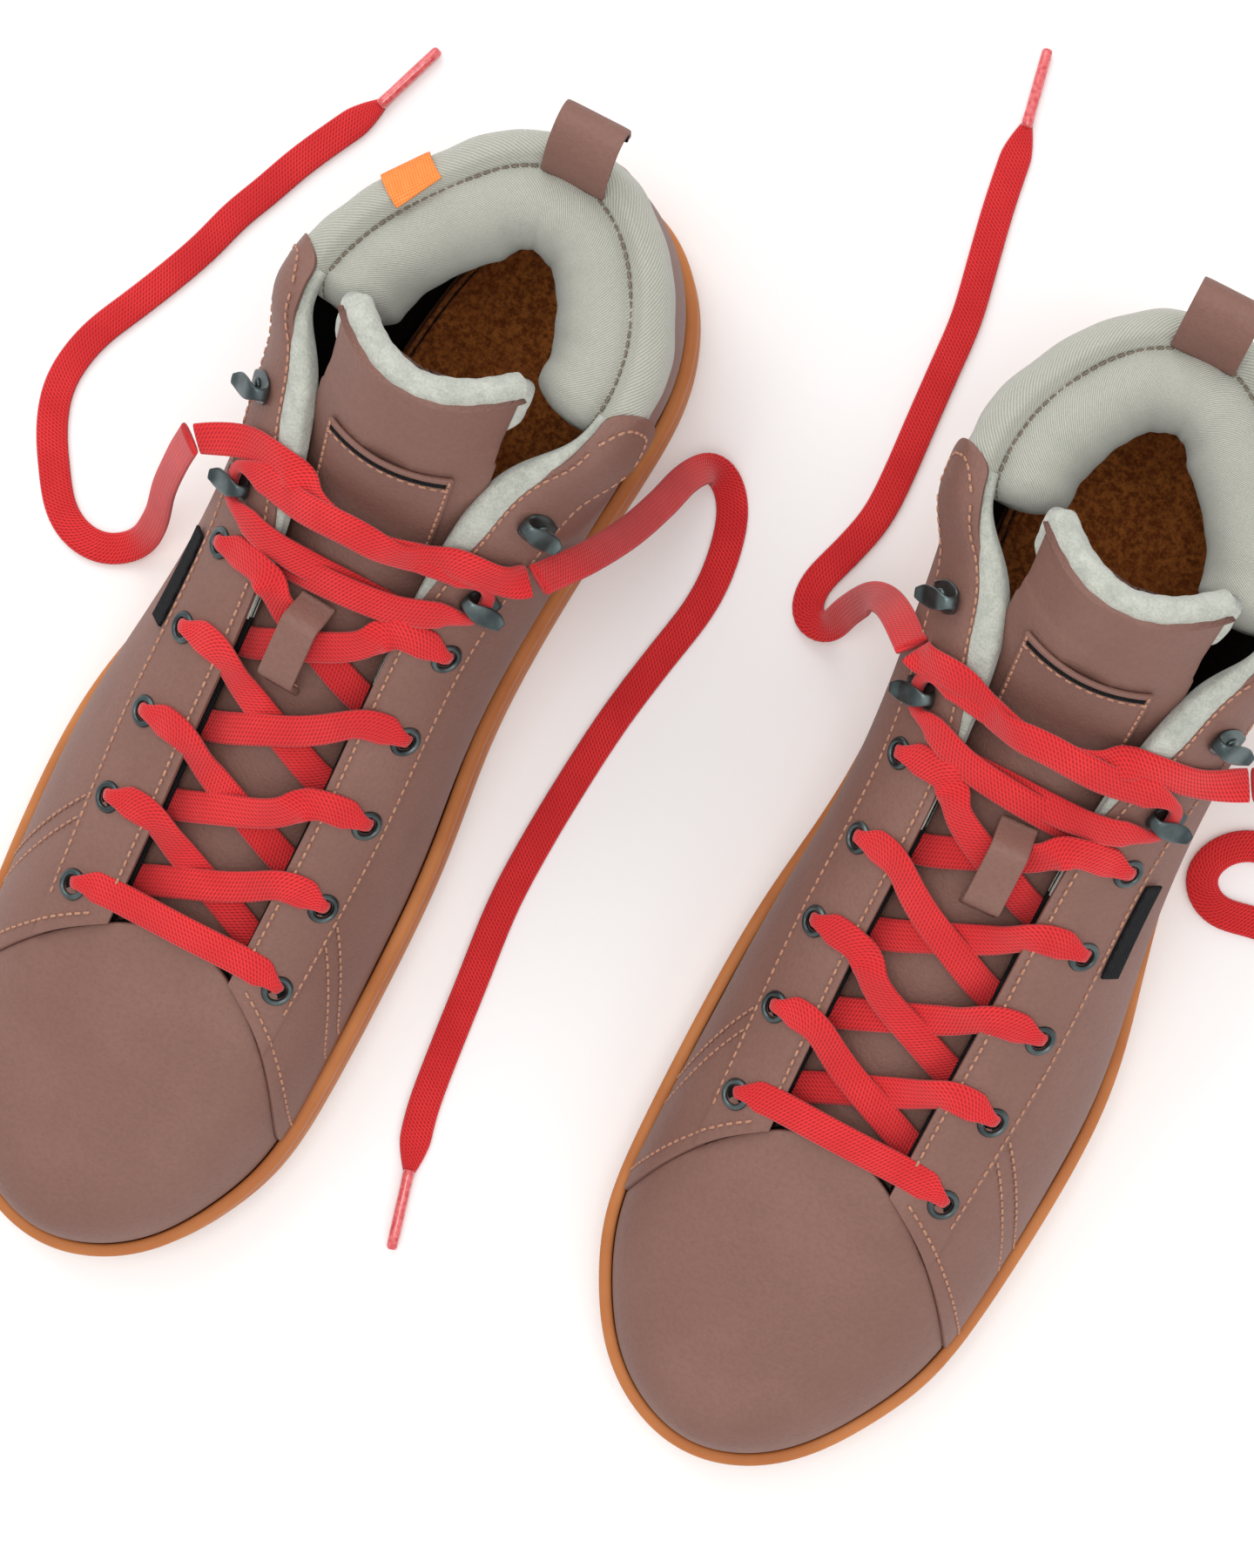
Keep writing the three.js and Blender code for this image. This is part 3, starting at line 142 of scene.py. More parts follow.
class Paint:
    """One material: a Principled shader and the nodes that feed it."""

    def __init__(self, name, **constants):
        self.material = bpy.data.materials.new(name)
        self.material.use_nodes = True
        self.tree = self.material.node_tree
        self.shader = self.tree.nodes["Principled BSDF"]
        for socket, value in constants.items():
            self.shader.inputs[socket.replace("_", " ")].default_value = value
        places = self.node("ShaderNodeTexCoord")
        self.place, self.uv = places.outputs["Object"], places.outputs["UV"]

    def node(self, kind, settings=None, inputs=None):
        """Adds a node, sets its settings, then gives its sockets their values or links."""
        made = self.tree.nodes.new(kind)
        for key, value in (settings or {}).items():
            setattr(made, key, value)
        for key, value in (inputs or {}).items():
            value = value.socket if isinstance(value, Amount) else value
            if isinstance(value, bpy.types.NodeSocket):
                self.tree.links.new(value, made.inputs[key])
            else:
                made.inputs[key].default_value = value
        return made

    def noise(self, scale, detail=3.0, roughness=0.55):
        """Cloudy noise over the piece, with scale features to the metre."""
        inputs = {"Vector": self.place, "Scale": scale, "Detail": detail, "Roughness": roughness}
        return Amount(self, self.node("ShaderNodeTexNoise", None, inputs).outputs[0])

    def cells(self, scale):
        """Distance to the nearest of scattered points, scale of them to the metre."""
        made = self.node("ShaderNodeTexVoronoi", None, {"Vector": self.place, "Scale": scale})
        return Amount(self, made.outputs["Distance"])

    def axes(self, vector):
        """The three parts of a vector as amounts."""
        parts = self.node("ShaderNodeSeparateXYZ", None, {0: vector}).outputs
        return [Amount(self, part) for part in parts]

    def mixed(self, share, first, second):
        """A colour that goes from first to second as share goes from 0 to 1."""
        inputs = {MIX_SHARE: share, MIX_FIRST: first, MIX_SECOND: second}
        return self.node("ShaderNodeMix", {"data_type": "RGBA"}, inputs).outputs[MIX_RESULT]

    def feed(self, socket, value):
        """Links what varies over the surface to one of the shader's sockets."""
        value = value.socket if isinstance(value, Amount) else value
        self.tree.links.new(value, self.shader.inputs[socket])

    def coloured(self, share, first, second):
        """The base colour, from one screen colour to another as share goes from 0 to 1."""
        self.feed("Base Color", self.mixed(share, linear(*first), linear(*second)))

    def bump(self, height, depth, strength):
        """Raises the surface by height times depth, in metres."""
        inputs = {"Height": height, "Distance": depth, "Strength": strength}
        made = self.node("ShaderNodeBump", None, inputs)
        self.feed("Normal", made.outputs[0])
        return self


def leather(name, colour, worn):
    """Smooth full-grain leather: fine pebbled grain, soft cloudy colour, rubbed lighter in places."""
    paint = Paint(name, Specular_IOR_Level=0.32)
    cloud = paint.noise(38, 4)
    fine = paint.noise(900, 2)
    grain = paint.cells(1050).between(0.05, 0.62)
    crease = paint.noise(210, 5, 0.62)
    base = paint.mixed(cloud.between(0.35, 0.72), linear(*colour), linear(*worn))
    pores = linear(*[channel * 0.78 for channel in colour])
    paint.feed("Base Color", paint.mixed(fine.between(0.3, 0.8) * 0.22, base, pores))
    paint.feed("Roughness", 0.5 + cloud * 0.12 + fine * 0.06)
    return paint.bump(grain * 0.5 + fine * 0.25 + crease * 0.9, 0.00022, 0.55).material


def felt(name, light, dark, twill):
    """Wool felt; twill adds fine slanting ribs of the given spacing in metres."""
    paint = Paint(name, Specular_IOR_Level=0.12, Sheen_Weight=0.35, Sheen_Roughness=0.6, Roughness=0.95)
    fibre = paint.noise(1500, 3, 0.7)
    wide = paint.noise(260, 3, 0.6)
    lump = wide * 0.5 + fibre * 0.5
    if twill:
        u, v, _ = paint.axes(paint.uv)
        ribs = ((u + v) * (TURN / twill) + wide * 2.2).sine() * 0.5 + 0.5
        fleck = paint.noise(2600, 2)
        lump = ribs * 0.4 + fibre * 0.35 + fleck * 0.25
    paint.coloured(lump.between(0.3, 0.72), dark, light)
    return paint.bump(lump, 0.0005 if twill else 0.0012, 0.8).material


STRAND_PITCH, ROW_PITCH = 0.00095, 0.0009  # of the laces' braid, in metres


def woven_lace():
    """Flat braided cotton: slanting strands that meet in a chevron along the middle, with painted shade
    in the gaps between them.
    """
    paint = Paint("lace", Specular_IOR_Level=0.2, Roughness=0.85, Sheen_Weight=0.2)
    u, v, _ = paint.axes(paint.uv)
    wobble = paint.noise(700, 2)
    braid = ((v + u.size() * 0.8) * (TURN / STRAND_PITCH) + wobble * 0.9).sine() * 0.5 + 0.5
    rows = (u * (TURN / ROW_PITCH)).sine() * 0.5 + 0.5
    weave = braid * 0.62 + rows * 0.38
    tint = paint.noise(60, 3)
    bright = paint.mixed(tint.between(0.3, 0.7), linear(206, 40, 43), linear(222, 50, 52))
    # Painted shade: where the weave is low, in the gaps between strands, the red turns to a darker red.
    paint.feed("Base Color", paint.mixed(weave.between(0.12, 0.6), linear(160, 26, 32), bright))
    return paint.bump(weave + wobble * 0.2, 0.00025, 0.7).material


def gum_rubber():
    """Moulded gum: a cloudy tan with a fine matt speckle."""
    paint = Paint("gum_rubber", Specular_IOR_Level=0.35)
    cloud, speck = paint.noise(30, 3), paint.noise(1400, 2)
    paint.coloured(cloud.between(0.3, 0.7), (172, 101, 50), (190, 120, 66))
    paint.feed("Roughness", 0.5 + speck * 0.2)
    return paint.bump(speck * 0.6 + cloud, 0.0002, 0.4).material


def cork_suede():
    """Footbed of brown suede over cork: dense dark and rusty flecks, all painted much lighter than the
    suede's own brown as painted light falling into the boot.
    """
    paint = Paint("footbed_suede_painted_light", Specular_IOR_Level=0.1, Roughness=0.95, Sheen_Weight=0.15)
    fleck, wide, nap = paint.noise(620, 4, 0.75), paint.noise(90, 3), paint.noise(1800, 2)
    # Painted light: the fleck colours and the patch colour are raised well above the suede's own brown
    # to stand in for light reaching inside the boot.
    base = paint.mixed(fleck.between(0.36, 0.66), linear(150, 78, 36), linear(236, 140, 68))
    paint.feed("Base Color", paint.mixed(wide.between(0.35, 0.75) * 0.4, base, linear(168, 86, 40)))
    return paint.bump(fleck + nap * 0.6, 0.0007, 0.8).material


def plain_cloth(name, colour, dark, spacing=0.0011):
    """Plainly woven cloth or webbing with threads at the given spacing in metres."""
    paint = Paint(name, Specular_IOR_Level=0.15, Roughness=0.9)
    x, y, z = paint.axes(paint.place)
    turns = TURN / spacing
    weave = ((x + z) * turns).sine() * ((y - z) * turns).sine() * 0.5 + 0.5
    mottle = paint.noise(500, 3)
    shade = (weave * 0.6 + mottle * 0.4).between(0.25, 0.75)
    paint.coloured(shade, dark, colour)
    return paint.bump(weave + mottle * 0.5, 0.0002, 0.7).material


def dark_metal():
    """Burnished gunmetal: fine scratches and lighter rubbed patches."""
    paint = Paint("gunmetal", Metallic=0.92)
    rub, scratch = paint.noise(140, 3, 0.5), paint.noise(2600, 2)
    paint.coloured(rub.between(0.35, 0.7), (66, 75, 77), (98, 108, 108))
    paint.feed("Roughness", 0.24 + rub * 0.18 + scratch * 0.08)
    return paint.bump(rub * 0.5 + scratch, 0.00004, 0.5).material


def sewing_thread(name, dark, light):
    """Twisted thread: fine light and dark flecks."""
    paint = Paint(name, Specular_IOR_Level=0.25, Roughness=0.7)
    twist = paint.noise(3200, 1)
    paint.coloured(twist.between(0.3, 0.7), dark, light)
    return paint.bump(twist, 0.0001, 0.5).material


def aglet_film():
    """Shiny rolled film with pale streaks."""
    paint = Paint("aglet_film", Specular_IOR_Level=0.6, Coat_Weight=0.4, Roughness=0.22)
    streak = paint.noise(900, 2)
    paint.coloured(streak.between(0.3, 0.7), (198, 64, 70), (226, 108, 110))
    return paint.bump(streak, 0.0001, 0.3).material


def pale_floor():
    """Matt off-white board, very slightly cloudy."""
    paint = Paint("pale_floor", Specular_IOR_Level=0.1, Roughness=0.9)
    paint.coloured(paint.noise(6, 2), (246, 247, 247), (249, 249, 249))
    return paint.material


LEATHER_SKIN = leather("leather", (122, 87, 77), (128, 93, 83))
ROLL_FELT = felt("roll_felt", (186, 186, 174), (154, 155, 144), 0.0007)
COLLAR_FELT = felt("collar_felt", (181, 180, 168), (152, 152, 141), 0.0009)
FLEECE = felt("fleece", (194, 196, 185), (158, 161, 151), 0)
LACE_BRAID = woven_lace()
GUM = gum_rubber()
SUEDE = cork_suede()
BLACK_CLOTH = plain_cloth("black_lining", (24, 24, 26), (8, 8, 9))
TAG_CLOTH = plain_cloth("tag_webbing", (34, 35, 38), (12, 12, 13), 0.0008)
ORANGE_CLOTH = plain_cloth("tab_webbing", (250, 150, 82), (226, 120, 58), 0.0009)
BOARD = plain_cloth("insole_board", (40, 36, 32), (22, 20, 18), 0.002)
METAL = dark_metal()
THREAD = sewing_thread("thread", (150, 104, 84), (190, 144, 120))
GROOVE_THREAD = sewing_thread("groove_thread", (98, 88, 76), (134, 122, 108))
AGLET_FILM = aglet_film()


# ---------------------------------------------------------------- meshes
def strip_faces(rows, columns, ring=False):
    """Quads of a grid of rows by columns; a ring joins its last column to its first."""
    r = np.arange(rows - 1)[:, None] * columns
    c = np.arange(columns if ring else columns - 1)[None, :]
    right = (c + 1) % columns
    quads = np.stack([r + c, r + right, r + columns + right, r + columns + c], -1)
    return quads.reshape(-1, 4)


def grid_uv(points):
    """Distances in metres down and across a grid; across is counted from its middle column."""
    down = np.linalg.norm(np.diff(points, axis=0), axis=-1).mean(1)
    across = np.linalg.norm(np.diff(points, axis=1), axis=-1).mean(0)
    v = np.concatenate([[0], np.cumsum(down)]) * MM
    u = np.concatenate([[0], np.cumsum(across)]) * MM
    u = u - u[-1] / 2
    return np.stack(np.broadcast_arrays(u[None, :], v[:, None]), -1).reshape(-1, 2)


def signed_volume(points, faces):
    """A sixth of the sum of triple products over the triangles of every face, seen from the middle."""
    middle = points.mean(0)
    total = 0.0
    for k in range(1, faces.shape[1] - 1):
        a, b, c = (points[faces[:, i]] - middle for i in (0, k, k + 1))
        total += np.einsum("ij,ij->", a, np.cross(b, c)) / 6
    return total


class Shape:
    """Points, faces and UVs in boot or pair millimetres, joined piece by piece."""

    def __init__(self):
        self.points, self.faces, self.uv, self.count = [], [], [], 0

    def add(self, points, faces, uv=None, solid=False):
        """Adds points and their faces; a solid whose volume comes out negative is turned round."""
        points = np.asarray(points, float).reshape(-1, 3)
        faces = np.asarray(faces)
        if solid and signed_volume(points, faces) < 0:
            faces = faces[:, ::-1]
        self.points.append(points)
        self.faces.append(faces + self.count)
        self.uv.append(points[:, :2] * MM if uv is None else uv)
        self.count += len(points)
        return self

    def grid(self, points):
        """An open sheet through a grid of points."""
        return self.add(points, strip_faces(*points.shape[:2]), grid_uv(points))

    def tube(self, rings):
        """Closed rings in a row, with a fan from the middle of the first and last ring."""
        rows, columns = rings.shape[:2]
        ends = rings[[0, -1]].mean(1)
        points = np.concatenate([rings.reshape(-1, 3), ends])
        j = np.arange(columns)
        after = (j + 1) % columns
        top = (rows - 1) * columns
        first, last = rows * columns, rows * columns + 1
        caps = [np.stack([after, j, 0 * j + first, 0 * j + first], 1)]
        caps.append(np.stack([top + j, top + after, 0 * j + last, 0 * j + last], 1))
        uv = np.concatenate([grid_uv(rings), np.zeros((2, 2))])
        faces = np.concatenate([strip_faces(rows, columns, True), *caps])
        return self.add(points, faces, uv, True)


FEET = {"left": (1, 77.65, 14.5), "right": (-1, -77.65, -14.5)}


def placed(points, foot):
    """Boot millimetres to metres of the pair: mirrored for the right foot, then moved."""
    side, x, y = FEET[foot]
    return (points * [side, 1, 1] + [x, y, 0]) * MM


def build(name, shape, paint, slot, foot=None, body="boots", replaces=(), merge=0.00002):
    """Makes a piece from a Shape, and says what it rides on, stands for and takes its finish from."""
    points = np.concatenate(shape.points)
    points = placed(points, foot) if foot else points * MM
    mesh = bpy.data.meshes.new(name)
    faces = []
    for block in shape.faces:
        block = block[:, ::-1] if foot == "right" else block
        faces.extend([tuple(dict.fromkeys(face)) for face in block.tolist()])
    uv = np.concatenate(shape.uv)
    mesh.from_pydata(points.tolist(), [], faces)
    corners = np.empty(len(mesh.loops), int)
    mesh.loops.foreach_get("vertex_index", corners)
    mesh.uv_layers.new(name="UVMap").data.foreach_set("uv", uv[corners].ravel())
    if merge:
        work = bmesh.new()
        work.from_mesh(mesh)
        bmesh.ops.remove_doubles(work, verts=work.verts, dist=merge)
        bmesh.ops.dissolve_degenerate(work, edges=work.edges, dist=1e-7)
        work.to_mesh(mesh)
        work.free()
    mesh.polygons.foreach_set("use_smooth", np.ones(len(mesh.polygons), bool))
    for each in paint if isinstance(paint, (list, tuple)) else [paint]:
        mesh.materials.append(each)
    piece = bpy.data.objects.new(name, mesh)
    bpy.context.scene.collection.objects.link(piece)
    if body:
        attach(piece, body)
    if replaces:
        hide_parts(*replaces)
    return piece


def thicken(piece, thickness, edge=0.0):
    """Gives a sheet its thickness, inwards from its face, and softens its edges."""
    wall = piece.modifiers.new("wall", "SOLIDIFY")
    wall.thickness, wall.offset, wall.use_even_offset = thickness * MM, -1.0, False
    if edge:
        soft = piece.modifiers.new("edge", "BEVEL")
        soft.width, soft.segments, soft.limit_method = edge * MM, 2, "ANGLE"
        soft.angle_limit = math.radians(50)
        soft.use_clamp_overlap = True
    return piece


def blended(a, b, c, d, f):
    """Uniform Catmull-Rom blend between b and c."""
    return b + 0.5 * f * (c - a + f * (2 * a - 5 * b + 4 * c - d + f * (3 * (b - c) + d - a)))


def refined(points, steps):
    """Catmull-Rom curve through points, with steps samples from each point to the next."""
    points = np.asarray(points, float)
    p = np.concatenate([2 * points[:1] - points[1:2], points, 2 * points[-1:] - points[-2:-1]])
    f = (np.arange(steps) / steps)[None, :, None]
    curve = blended(*(p[k : len(points) - 1 + k, None] for k in range(4)), f)
    return np.concatenate([curve.reshape(-1, p.shape[1]), points[-1:]])


def evenly(points, spacing, *others):
    """Resamples a path at even distances, and the values that go with it."""
    along = np.concatenate([[0], np.cumsum(np.linalg.norm(np.diff(points, axis=0), axis=1))])
    count = max(2, int(round(along[-1] / spacing)) + 1)
    at = np.linspace(0, along[-1], count)
    pick = lambda rows: np.stack([np.interp(at, along, column) for column in np.asarray(rows).T], -1)
    return [pick(points)] + [pick(each) for each in others]


def section(count, power):
    """Points of a rounded oblong of half size 1: cosine and sine raised to 2 / power."""
    turn = np.arange(count) * TURN / count + math.pi / count
    c, s = np.cos(turn), np.sin(turn)
    return np.stack([np.sign(c) * abs(c) ** (2 / power), np.sign(s) * abs(s) ** (2 / power)], 1)


def carried(path, flat, half_width, half_thickness, profile):
    """A section carried along a path: its first axis across it, its second along flat."""
    ahead = unit(np.gradient(path, axis=0))
    up = unit(flat - ahead * np.sum(ahead * flat, -1, keepdims=True))
    across = np.cross(ahead, up)
    wide = np.broadcast_to(np.asarray(half_width, float).reshape(-1, 1, 1), (len(path), 1, 1))
    thick = np.broadcast_to(np.asarray(half_thickness, float).reshape(-1, 1, 1), (len(path), 1, 1))
    x, y = profile[None, :, :1], profile[None, :, 1:]
    return path[:, None] + across[:, None] * x * wide + up[:, None] * y * thick


# ---------------------------------------------------------------- free ends of the laces
LACE_WIDTH, LACE_THICKNESS = 8.0, 1.7
AGLET_RADIUS, AGLET_LENGTH, AGLET_SEAT = 1.5, 19.0, 0.8
# Each route in pair millimetres, from the facing to where the aglet begins, and then its tip.
FREE_ENDS = {
    "right_outer": [
        (-127, 28, 100), (-131, 23, 80), (-136, 16, 50), (-140, 8, 18), (-144, 1, 3), (-151, -4, 1),
        (-159, -4, 1), (-166, 0, 1), (-172, 8, 1), (-178, 18, 1), (-181, 29, 1), (-179, 42, 1),
        (-173, 55, 1), (-168, 66, 1), (-164, 76, 1), (-161, 86, 1), (-157, 95, 1), (-153, 105, 1),
        (-148, 115, 1), (-141, 128, 1), (-135, 145, 1),
    ],
    "right_inner": [
        (-40, 36, 101), (-34, 46, 86), (-30, 57, 64), (-28, 68, 42), (-27, 78, 22), (-24, 84, 8),
        (-19, 83, 1.6), (-14, 76, 1), (-11, 63, 1), (-11, 51, 1), (-14, 35, 1), (-17, 17, 1),
        (-19, -4, 1), (-20, -22, 1), (-20, -38, 1), (-18, -58, 1), (-16, -78, 1), (-14, -93, 1),
        (-10, -107, 1), (-5, -126, 1),
    ],
    "left_inner": [
        (43, 62, 100), (36, 68, 84), (31, 71, 62), (27, 71, 40), (23, 67, 18), (20, 62, 4),
        (14, 62, 1), (12, 70, 1), (15, 80, 1), (18, 92, 1), (18, 104, 1), (17, 118, 1), (16, 133, 1),
        (15, 147, 1), (12, 162, 1), (9, 177, 1), (6, 197, 1), (2, 216, 1),
    ],
    "left_outer": [
        (127, 70, 96), (132, 73, 78), (136, 76, 52), (139, 78, 26), (143, 82, 5), (150, 88, 1),
        (160, 90, 1), (168, 84, 1), (169, 74, 1), (162, 66, 1), (150, 64, 1), (139, 63, 1),
        (132, 57, 1), (131, 49, 1), (138, 44, 1), (148, 46, 1), (160, 47, 1), (174, 45, 1),
        (186, 40, 1), (196, 33, 1), (206, 17, 1),
    ],
}
FLAT_SECTION = section(20, 3.2)
LACE_STEP, LACE_ROUNDS, LACE_CLEAR = 1.6, 7, 0.15  # sample spacing, averaging rounds, air under it
TAPER = 9  # millimetres over which a lace narrows into its aglet
# The film's profile: distance along it, and its radius there.
FILM_AT = np.array([-1.5, -1.2, 0, 3, 8, 14, AGLET_LENGTH - 0.8, AGLET_LENGTH - 0.2, AGLET_LENGTH])
FILM_RADIUS = np.array([1.15, 1.4, 1.5, 1.38, 1.42, 1.4, 1.36, 1.1, 0.5])


def free_lace(name, route):
    """One loose lace end: a flat section carried along the route, and a lathe profile along its tip.

    A flat lace doesn't kink: in each round every point but the two ends moves to the mean of itself,
    counted twice, and its neighbours.
    """
    path = refined(route[:-1], 10)
    path[:, 2] = np.maximum(path[:, 2], LACE_THICKNESS / 2 + LACE_CLEAR)
    (path,) = evenly(path, LACE_STEP)
    for _ in range(LACE_ROUNDS):
        path[1:-1] = (path[:-2] + 2 * path[1:-1] + path[2:]) / 4
    ahead = unit(np.gradient(path, axis=0))
    level = unit(np.cross(ahead, [0.0, 0.0, 1.0]))
    left = np.linspace(0, 1, len(path))[::-1] * len(path) * LACE_STEP
    near_tip = np.clip(1 - left / TAPER, 0, 1)
    narrow = 1 - 0.62 * near_tip**1.5
    fuller = LACE_THICKNESS / 2 * (1 + 0.5 * near_tip)
    rings = carried(path, np.cross(level, ahead), LACE_WIDTH / 2 * narrow, fuller, FLAT_SECTION)
    rings[..., 2] = np.maximum(rings[..., 2], LACE_CLEAR)
    node = name + "_lace_end"
    lace = build(node + "_braid", Shape().tube(rings), LACE_BRAID, "lace", replaces=[node])
    start, tip = np.array(route[-2], float), np.array(route[-1], float)
    start[2] = tip[2] = AGLET_RADIUS + 0.3
    way = unit(tip - start)
    rod = start + way * (AGLET_SEAT + FILM_AT[:, None])
    film = carried(rod, np.array([[0, 0, 1.0]]) + 0 * rod, FILM_RADIUS, FILM_RADIUS, section(16, 2))
    node = name + "_aglet"
    tipped = build(node + "_film", Shape().tube(film), AGLET_FILM, "aglet", replaces=[node])
    tuple((path[0] * MM).tolist())
    (path * MM).tolist()


for end_name, end_route in FREE_ENDS.items():
    free_lace(end_name, end_route)


# ---------------------------------------------------------------- the last
SOLE_HEIGHT, CUP_FLOOR, RIM_WIDTH, SEAM_GAP = 22.0, 14.0, 3.2, 0.3
WALL = 5.4  # leather, felt and lining together
THROAT, COLLAR_RIB, TOE, THROAT_SHARE = 8, 4, 12, 0.8
# Ribs: foot [from toe, to outer side], top [from toe, to outer side, height],
# swell of the foot [out, up] and of the top [out, down].
OUTER_RIBS = [
    (297, 8, 281, 7, 130, 3, 40, 10, 0), (285, 22.5, 271, 18, 128, 3, 40, 11, 0),
    (262, 32, 253, 31, 125, 4, 40, 14, 0), (235, 35.5, 233, 36, 123, 5, 38, 15, 0),
    (205, 40.5, 212, 27, 118, 6, 38, 24, 5), (165, 49, 175, 20.5, 97, 4, 32, 24, 6),
    (120, 58, 125, 20, 75, 1, 22, 24, 6), (53, 53, 88, 3.5, 63, 0, 20, 30, 0),
    (30, 43.5, 64, 4, 54, 0, 18, 28, 0), (14, 33, 48, 4.6, 49, 0, 17, 24, 0),
    (4, 20, 35, 4.6, 45.5, 0, 16, 20, 0),
]
INNER_RIBS = [
    (297, -18, 281, -16, 130, 3, 40, 10, 0), (285, -32, 271, -27, 128, 3, 40, 11, 0),
    (262, -41, 253, -35, 125, 4, 40, 13, 0), (235, -40, 233, -34, 122, 4, 38, 14, 0),
    (205, -37, 212, -20, 116, 6, 38, 24, 5), (165, -36, 175, -14, 96, 5, 32, 22, 6),
    (120, -41, 125, -13.5, 75, 1, 22, 22, 6), (51, -40.5, 88, 3.5, 63, 0, 20, 30, 0),
    (30, -33.5, 64, 4, 54, 0, 18, 28, 0), (14, -24, 48, 4.6, 49, 0, 17, 24, 0),
    (4, -10.5, 35, 4.6, 45.5, 0, 16, 20, 0),
]
HEEL_RIB = (300, -5, 284, -4, 131, 3, 40, 9, 0)
TOE_RIB = (0, 4.6, 26, 4.6, 43, 0, 15, 16, 0)
RING = np.array([TOE_RIB, *INNER_RIBS[::-1], HEEL_RIB, *OUTER_RIBS], float)
RING_FEET = np.stack([RING[:, 1], RING[:, 0] - 150, 0 * RING[:, 0]], 1)


EDGE_STEPS = 50  # samples of the sole's edge from one rib to the next
EDGE_SAMPLES = 1600  # even samples round the whole edge while it is averaged
EDGE_EASE = 9.0  # width in millimetres of the bell curve that it is averaged with


def eased_edge():
    """The Catmull-Rom edge through the ribs' feet, averaged along its own length by a bell curve."""
    s = np.arange(len(RING) * EDGE_STEPS) / EDGE_STEPS
    i = np.floor(s).astype(int)
    rows = [RING_FEET[(i + k) % len(RING)] for k in (-1, 0, 1, 2)]
    edge = blended(*rows, (s - i)[..., None])
    step = np.linalg.norm(np.roll(edge, -1, 0) - edge, axis=1)
    along = np.concatenate([[0], np.cumsum(step)])
    round_length = along[-1]
    even = np.linspace(0, round_length, EDGE_SAMPLES, endpoint=False)
    loop = np.concatenate([edge, edge[:1]])
    spaced = np.stack([np.interp(even, along, column) for column in loop.T], 1)
    turns = np.fft.rfftfreq(len(even), round_length / len(even)) * TURN
    calm = np.exp(-0.5 * (turns * EDGE_EASE) ** 2)[:, None]
    spaced = np.fft.irfft(np.fft.rfft(spaced, axis=0) * calm, len(even), axis=0)
    back = np.concatenate([spaced, spaced[:1]])
    return np.stack([np.interp(along, np.append(even, round_length), column) for column in back.T], 1)


EDGE = eased_edge()


def outline(s):
    """Edge of the sole at rib s, where -12 and 12 are the toe and 0 is the heel."""
    at = (np.asarray(s, float) + TOE) % len(RING) * EDGE_STEPS
    return np.stack([np.interp(at, np.arange(len(EDGE)), column) for column in EDGE.T], -1)


def outward(s):
    """Level direction out of the sole at rib s."""
    step = outline(np.asarray(s) + 0.02) - outline(np.asarray(s) - 0.02)
    return unit(np.stack([-step[..., 1], step[..., 0], 0 * step[..., 0]], -1))


def rib_controls():
    """Bezier controls of every rib from -12 to 11: foot, swell above it, swell below the top, top."""
    index = np.arange(-TOE, TOE)
    out = outward(index)
    foot = outline(index) - out * (RIM_WIDTH + SEAM_GAP) + [0, 0, SOLE_HEIGHT]
    top = np.stack([RING[:, 3], RING[:, 2] - 150, RING[:, 4]], 1)
    low = foot + out * RING[:, 5:6] + np.stack([0 * RING[:, 6], 0 * RING[:, 6], RING[:, 6]], 1)
    high = top + out * RING[:, 7:8]
    past = abs(index)
    own = lambda k: RING[(k + TOE) % len(RING)]
    back, front = own(np.maximum(past - 1, THROAT)), own(np.minimum(past + 1, TOE))
    slope = (back[:, 4] - front[:, 4]) / (back[:, 2] - front[:, 2])
    rise = np.where(past < THROAT, -RING[:, 8], slope * (high[:, 1] - top[:, 1]))
    high[:, 2] += rise
    return np.stack([foot, low, high, top], 1)


CONTROLS = rib_controls()


def first_part(controls, f):
    """The first share f of a cubic Bezier."""
    a, b, c, d = controls
    ab, bc, cd = a + (b - a) * f, b + (c - b) * f, c + (d - c) * f
    abc, bcd = ab + (bc - ab) * f, bc + (cd - bc) * f
    return np.stack([a, ab, abc, abc + (bcd - abc) * f])


SHAFT_CONTROLS = CONTROLS[TOE - THROAT : TOE + THROAT + 1].copy()
SHAFT_CONTROLS[0] = first_part(SHAFT_CONTROLS[0], THROAT_SHARE)
SHAFT_CONTROLS[-1] = first_part(SHAFT_CONTROLS[-1], THROAT_SHARE)
VAMP_CONTROLS = {
    side: np.stack([CONTROLS[(side * k + TOE) % len(RING)] for k in (8, 8, 9, 10, 11, 12, 13, 14)])
    for side in (-1, 1)
}


def footed(controls, s):
    """Moves the foot of each rib, and the swell above it, onto the eased edge of the sole."""
    foot = outline(s) - outward(s) * (RIM_WIDTH + SEAM_GAP) + [0, 0, SOLE_HEIGHT]
    shift = foot - controls[..., 0, :]
    return controls + shift[..., None, :] * np.array([1, 0.8, 0.15, 0])[:, None]


def bezier(controls, v):
    """Cubic Bezier: the four controls weighted by the powers of v and 1 - v."""
    a, b, c, d = (controls[..., k, :] for k in range(4))
    v = v[..., None]
    g = 1 - v
    return a * g**3 + 3 * b * g * g * v + 3 * c * g * v * v + d * v**3


def shaft(s, v):
    """Outer face of the shaft: rib s from -8 to 8, share v from the sole to the top edge.

    The controls of four ribs are blended, and v runs up the Bezier they give; v below 0 is its foot,
    dropped into the sole.
    """
    s, v = np.broadcast_arrays(np.asarray(s, float), np.asarray(v, float))
    i = np.floor(s).astype(int)
    rows = [SHAFT_CONTROLS[np.clip(i + k, -THROAT, THROAT) + THROAT] for k in (-1, 0, 1, 2)]
    controls = footed(blended(*rows, (s - i)[..., None, None]), s)
    point = bezier(controls, np.maximum(v, 0))
    point[..., 2] = np.where(v < 0, CUP_FLOOR + SEAM_GAP, point[..., 2])
    return point


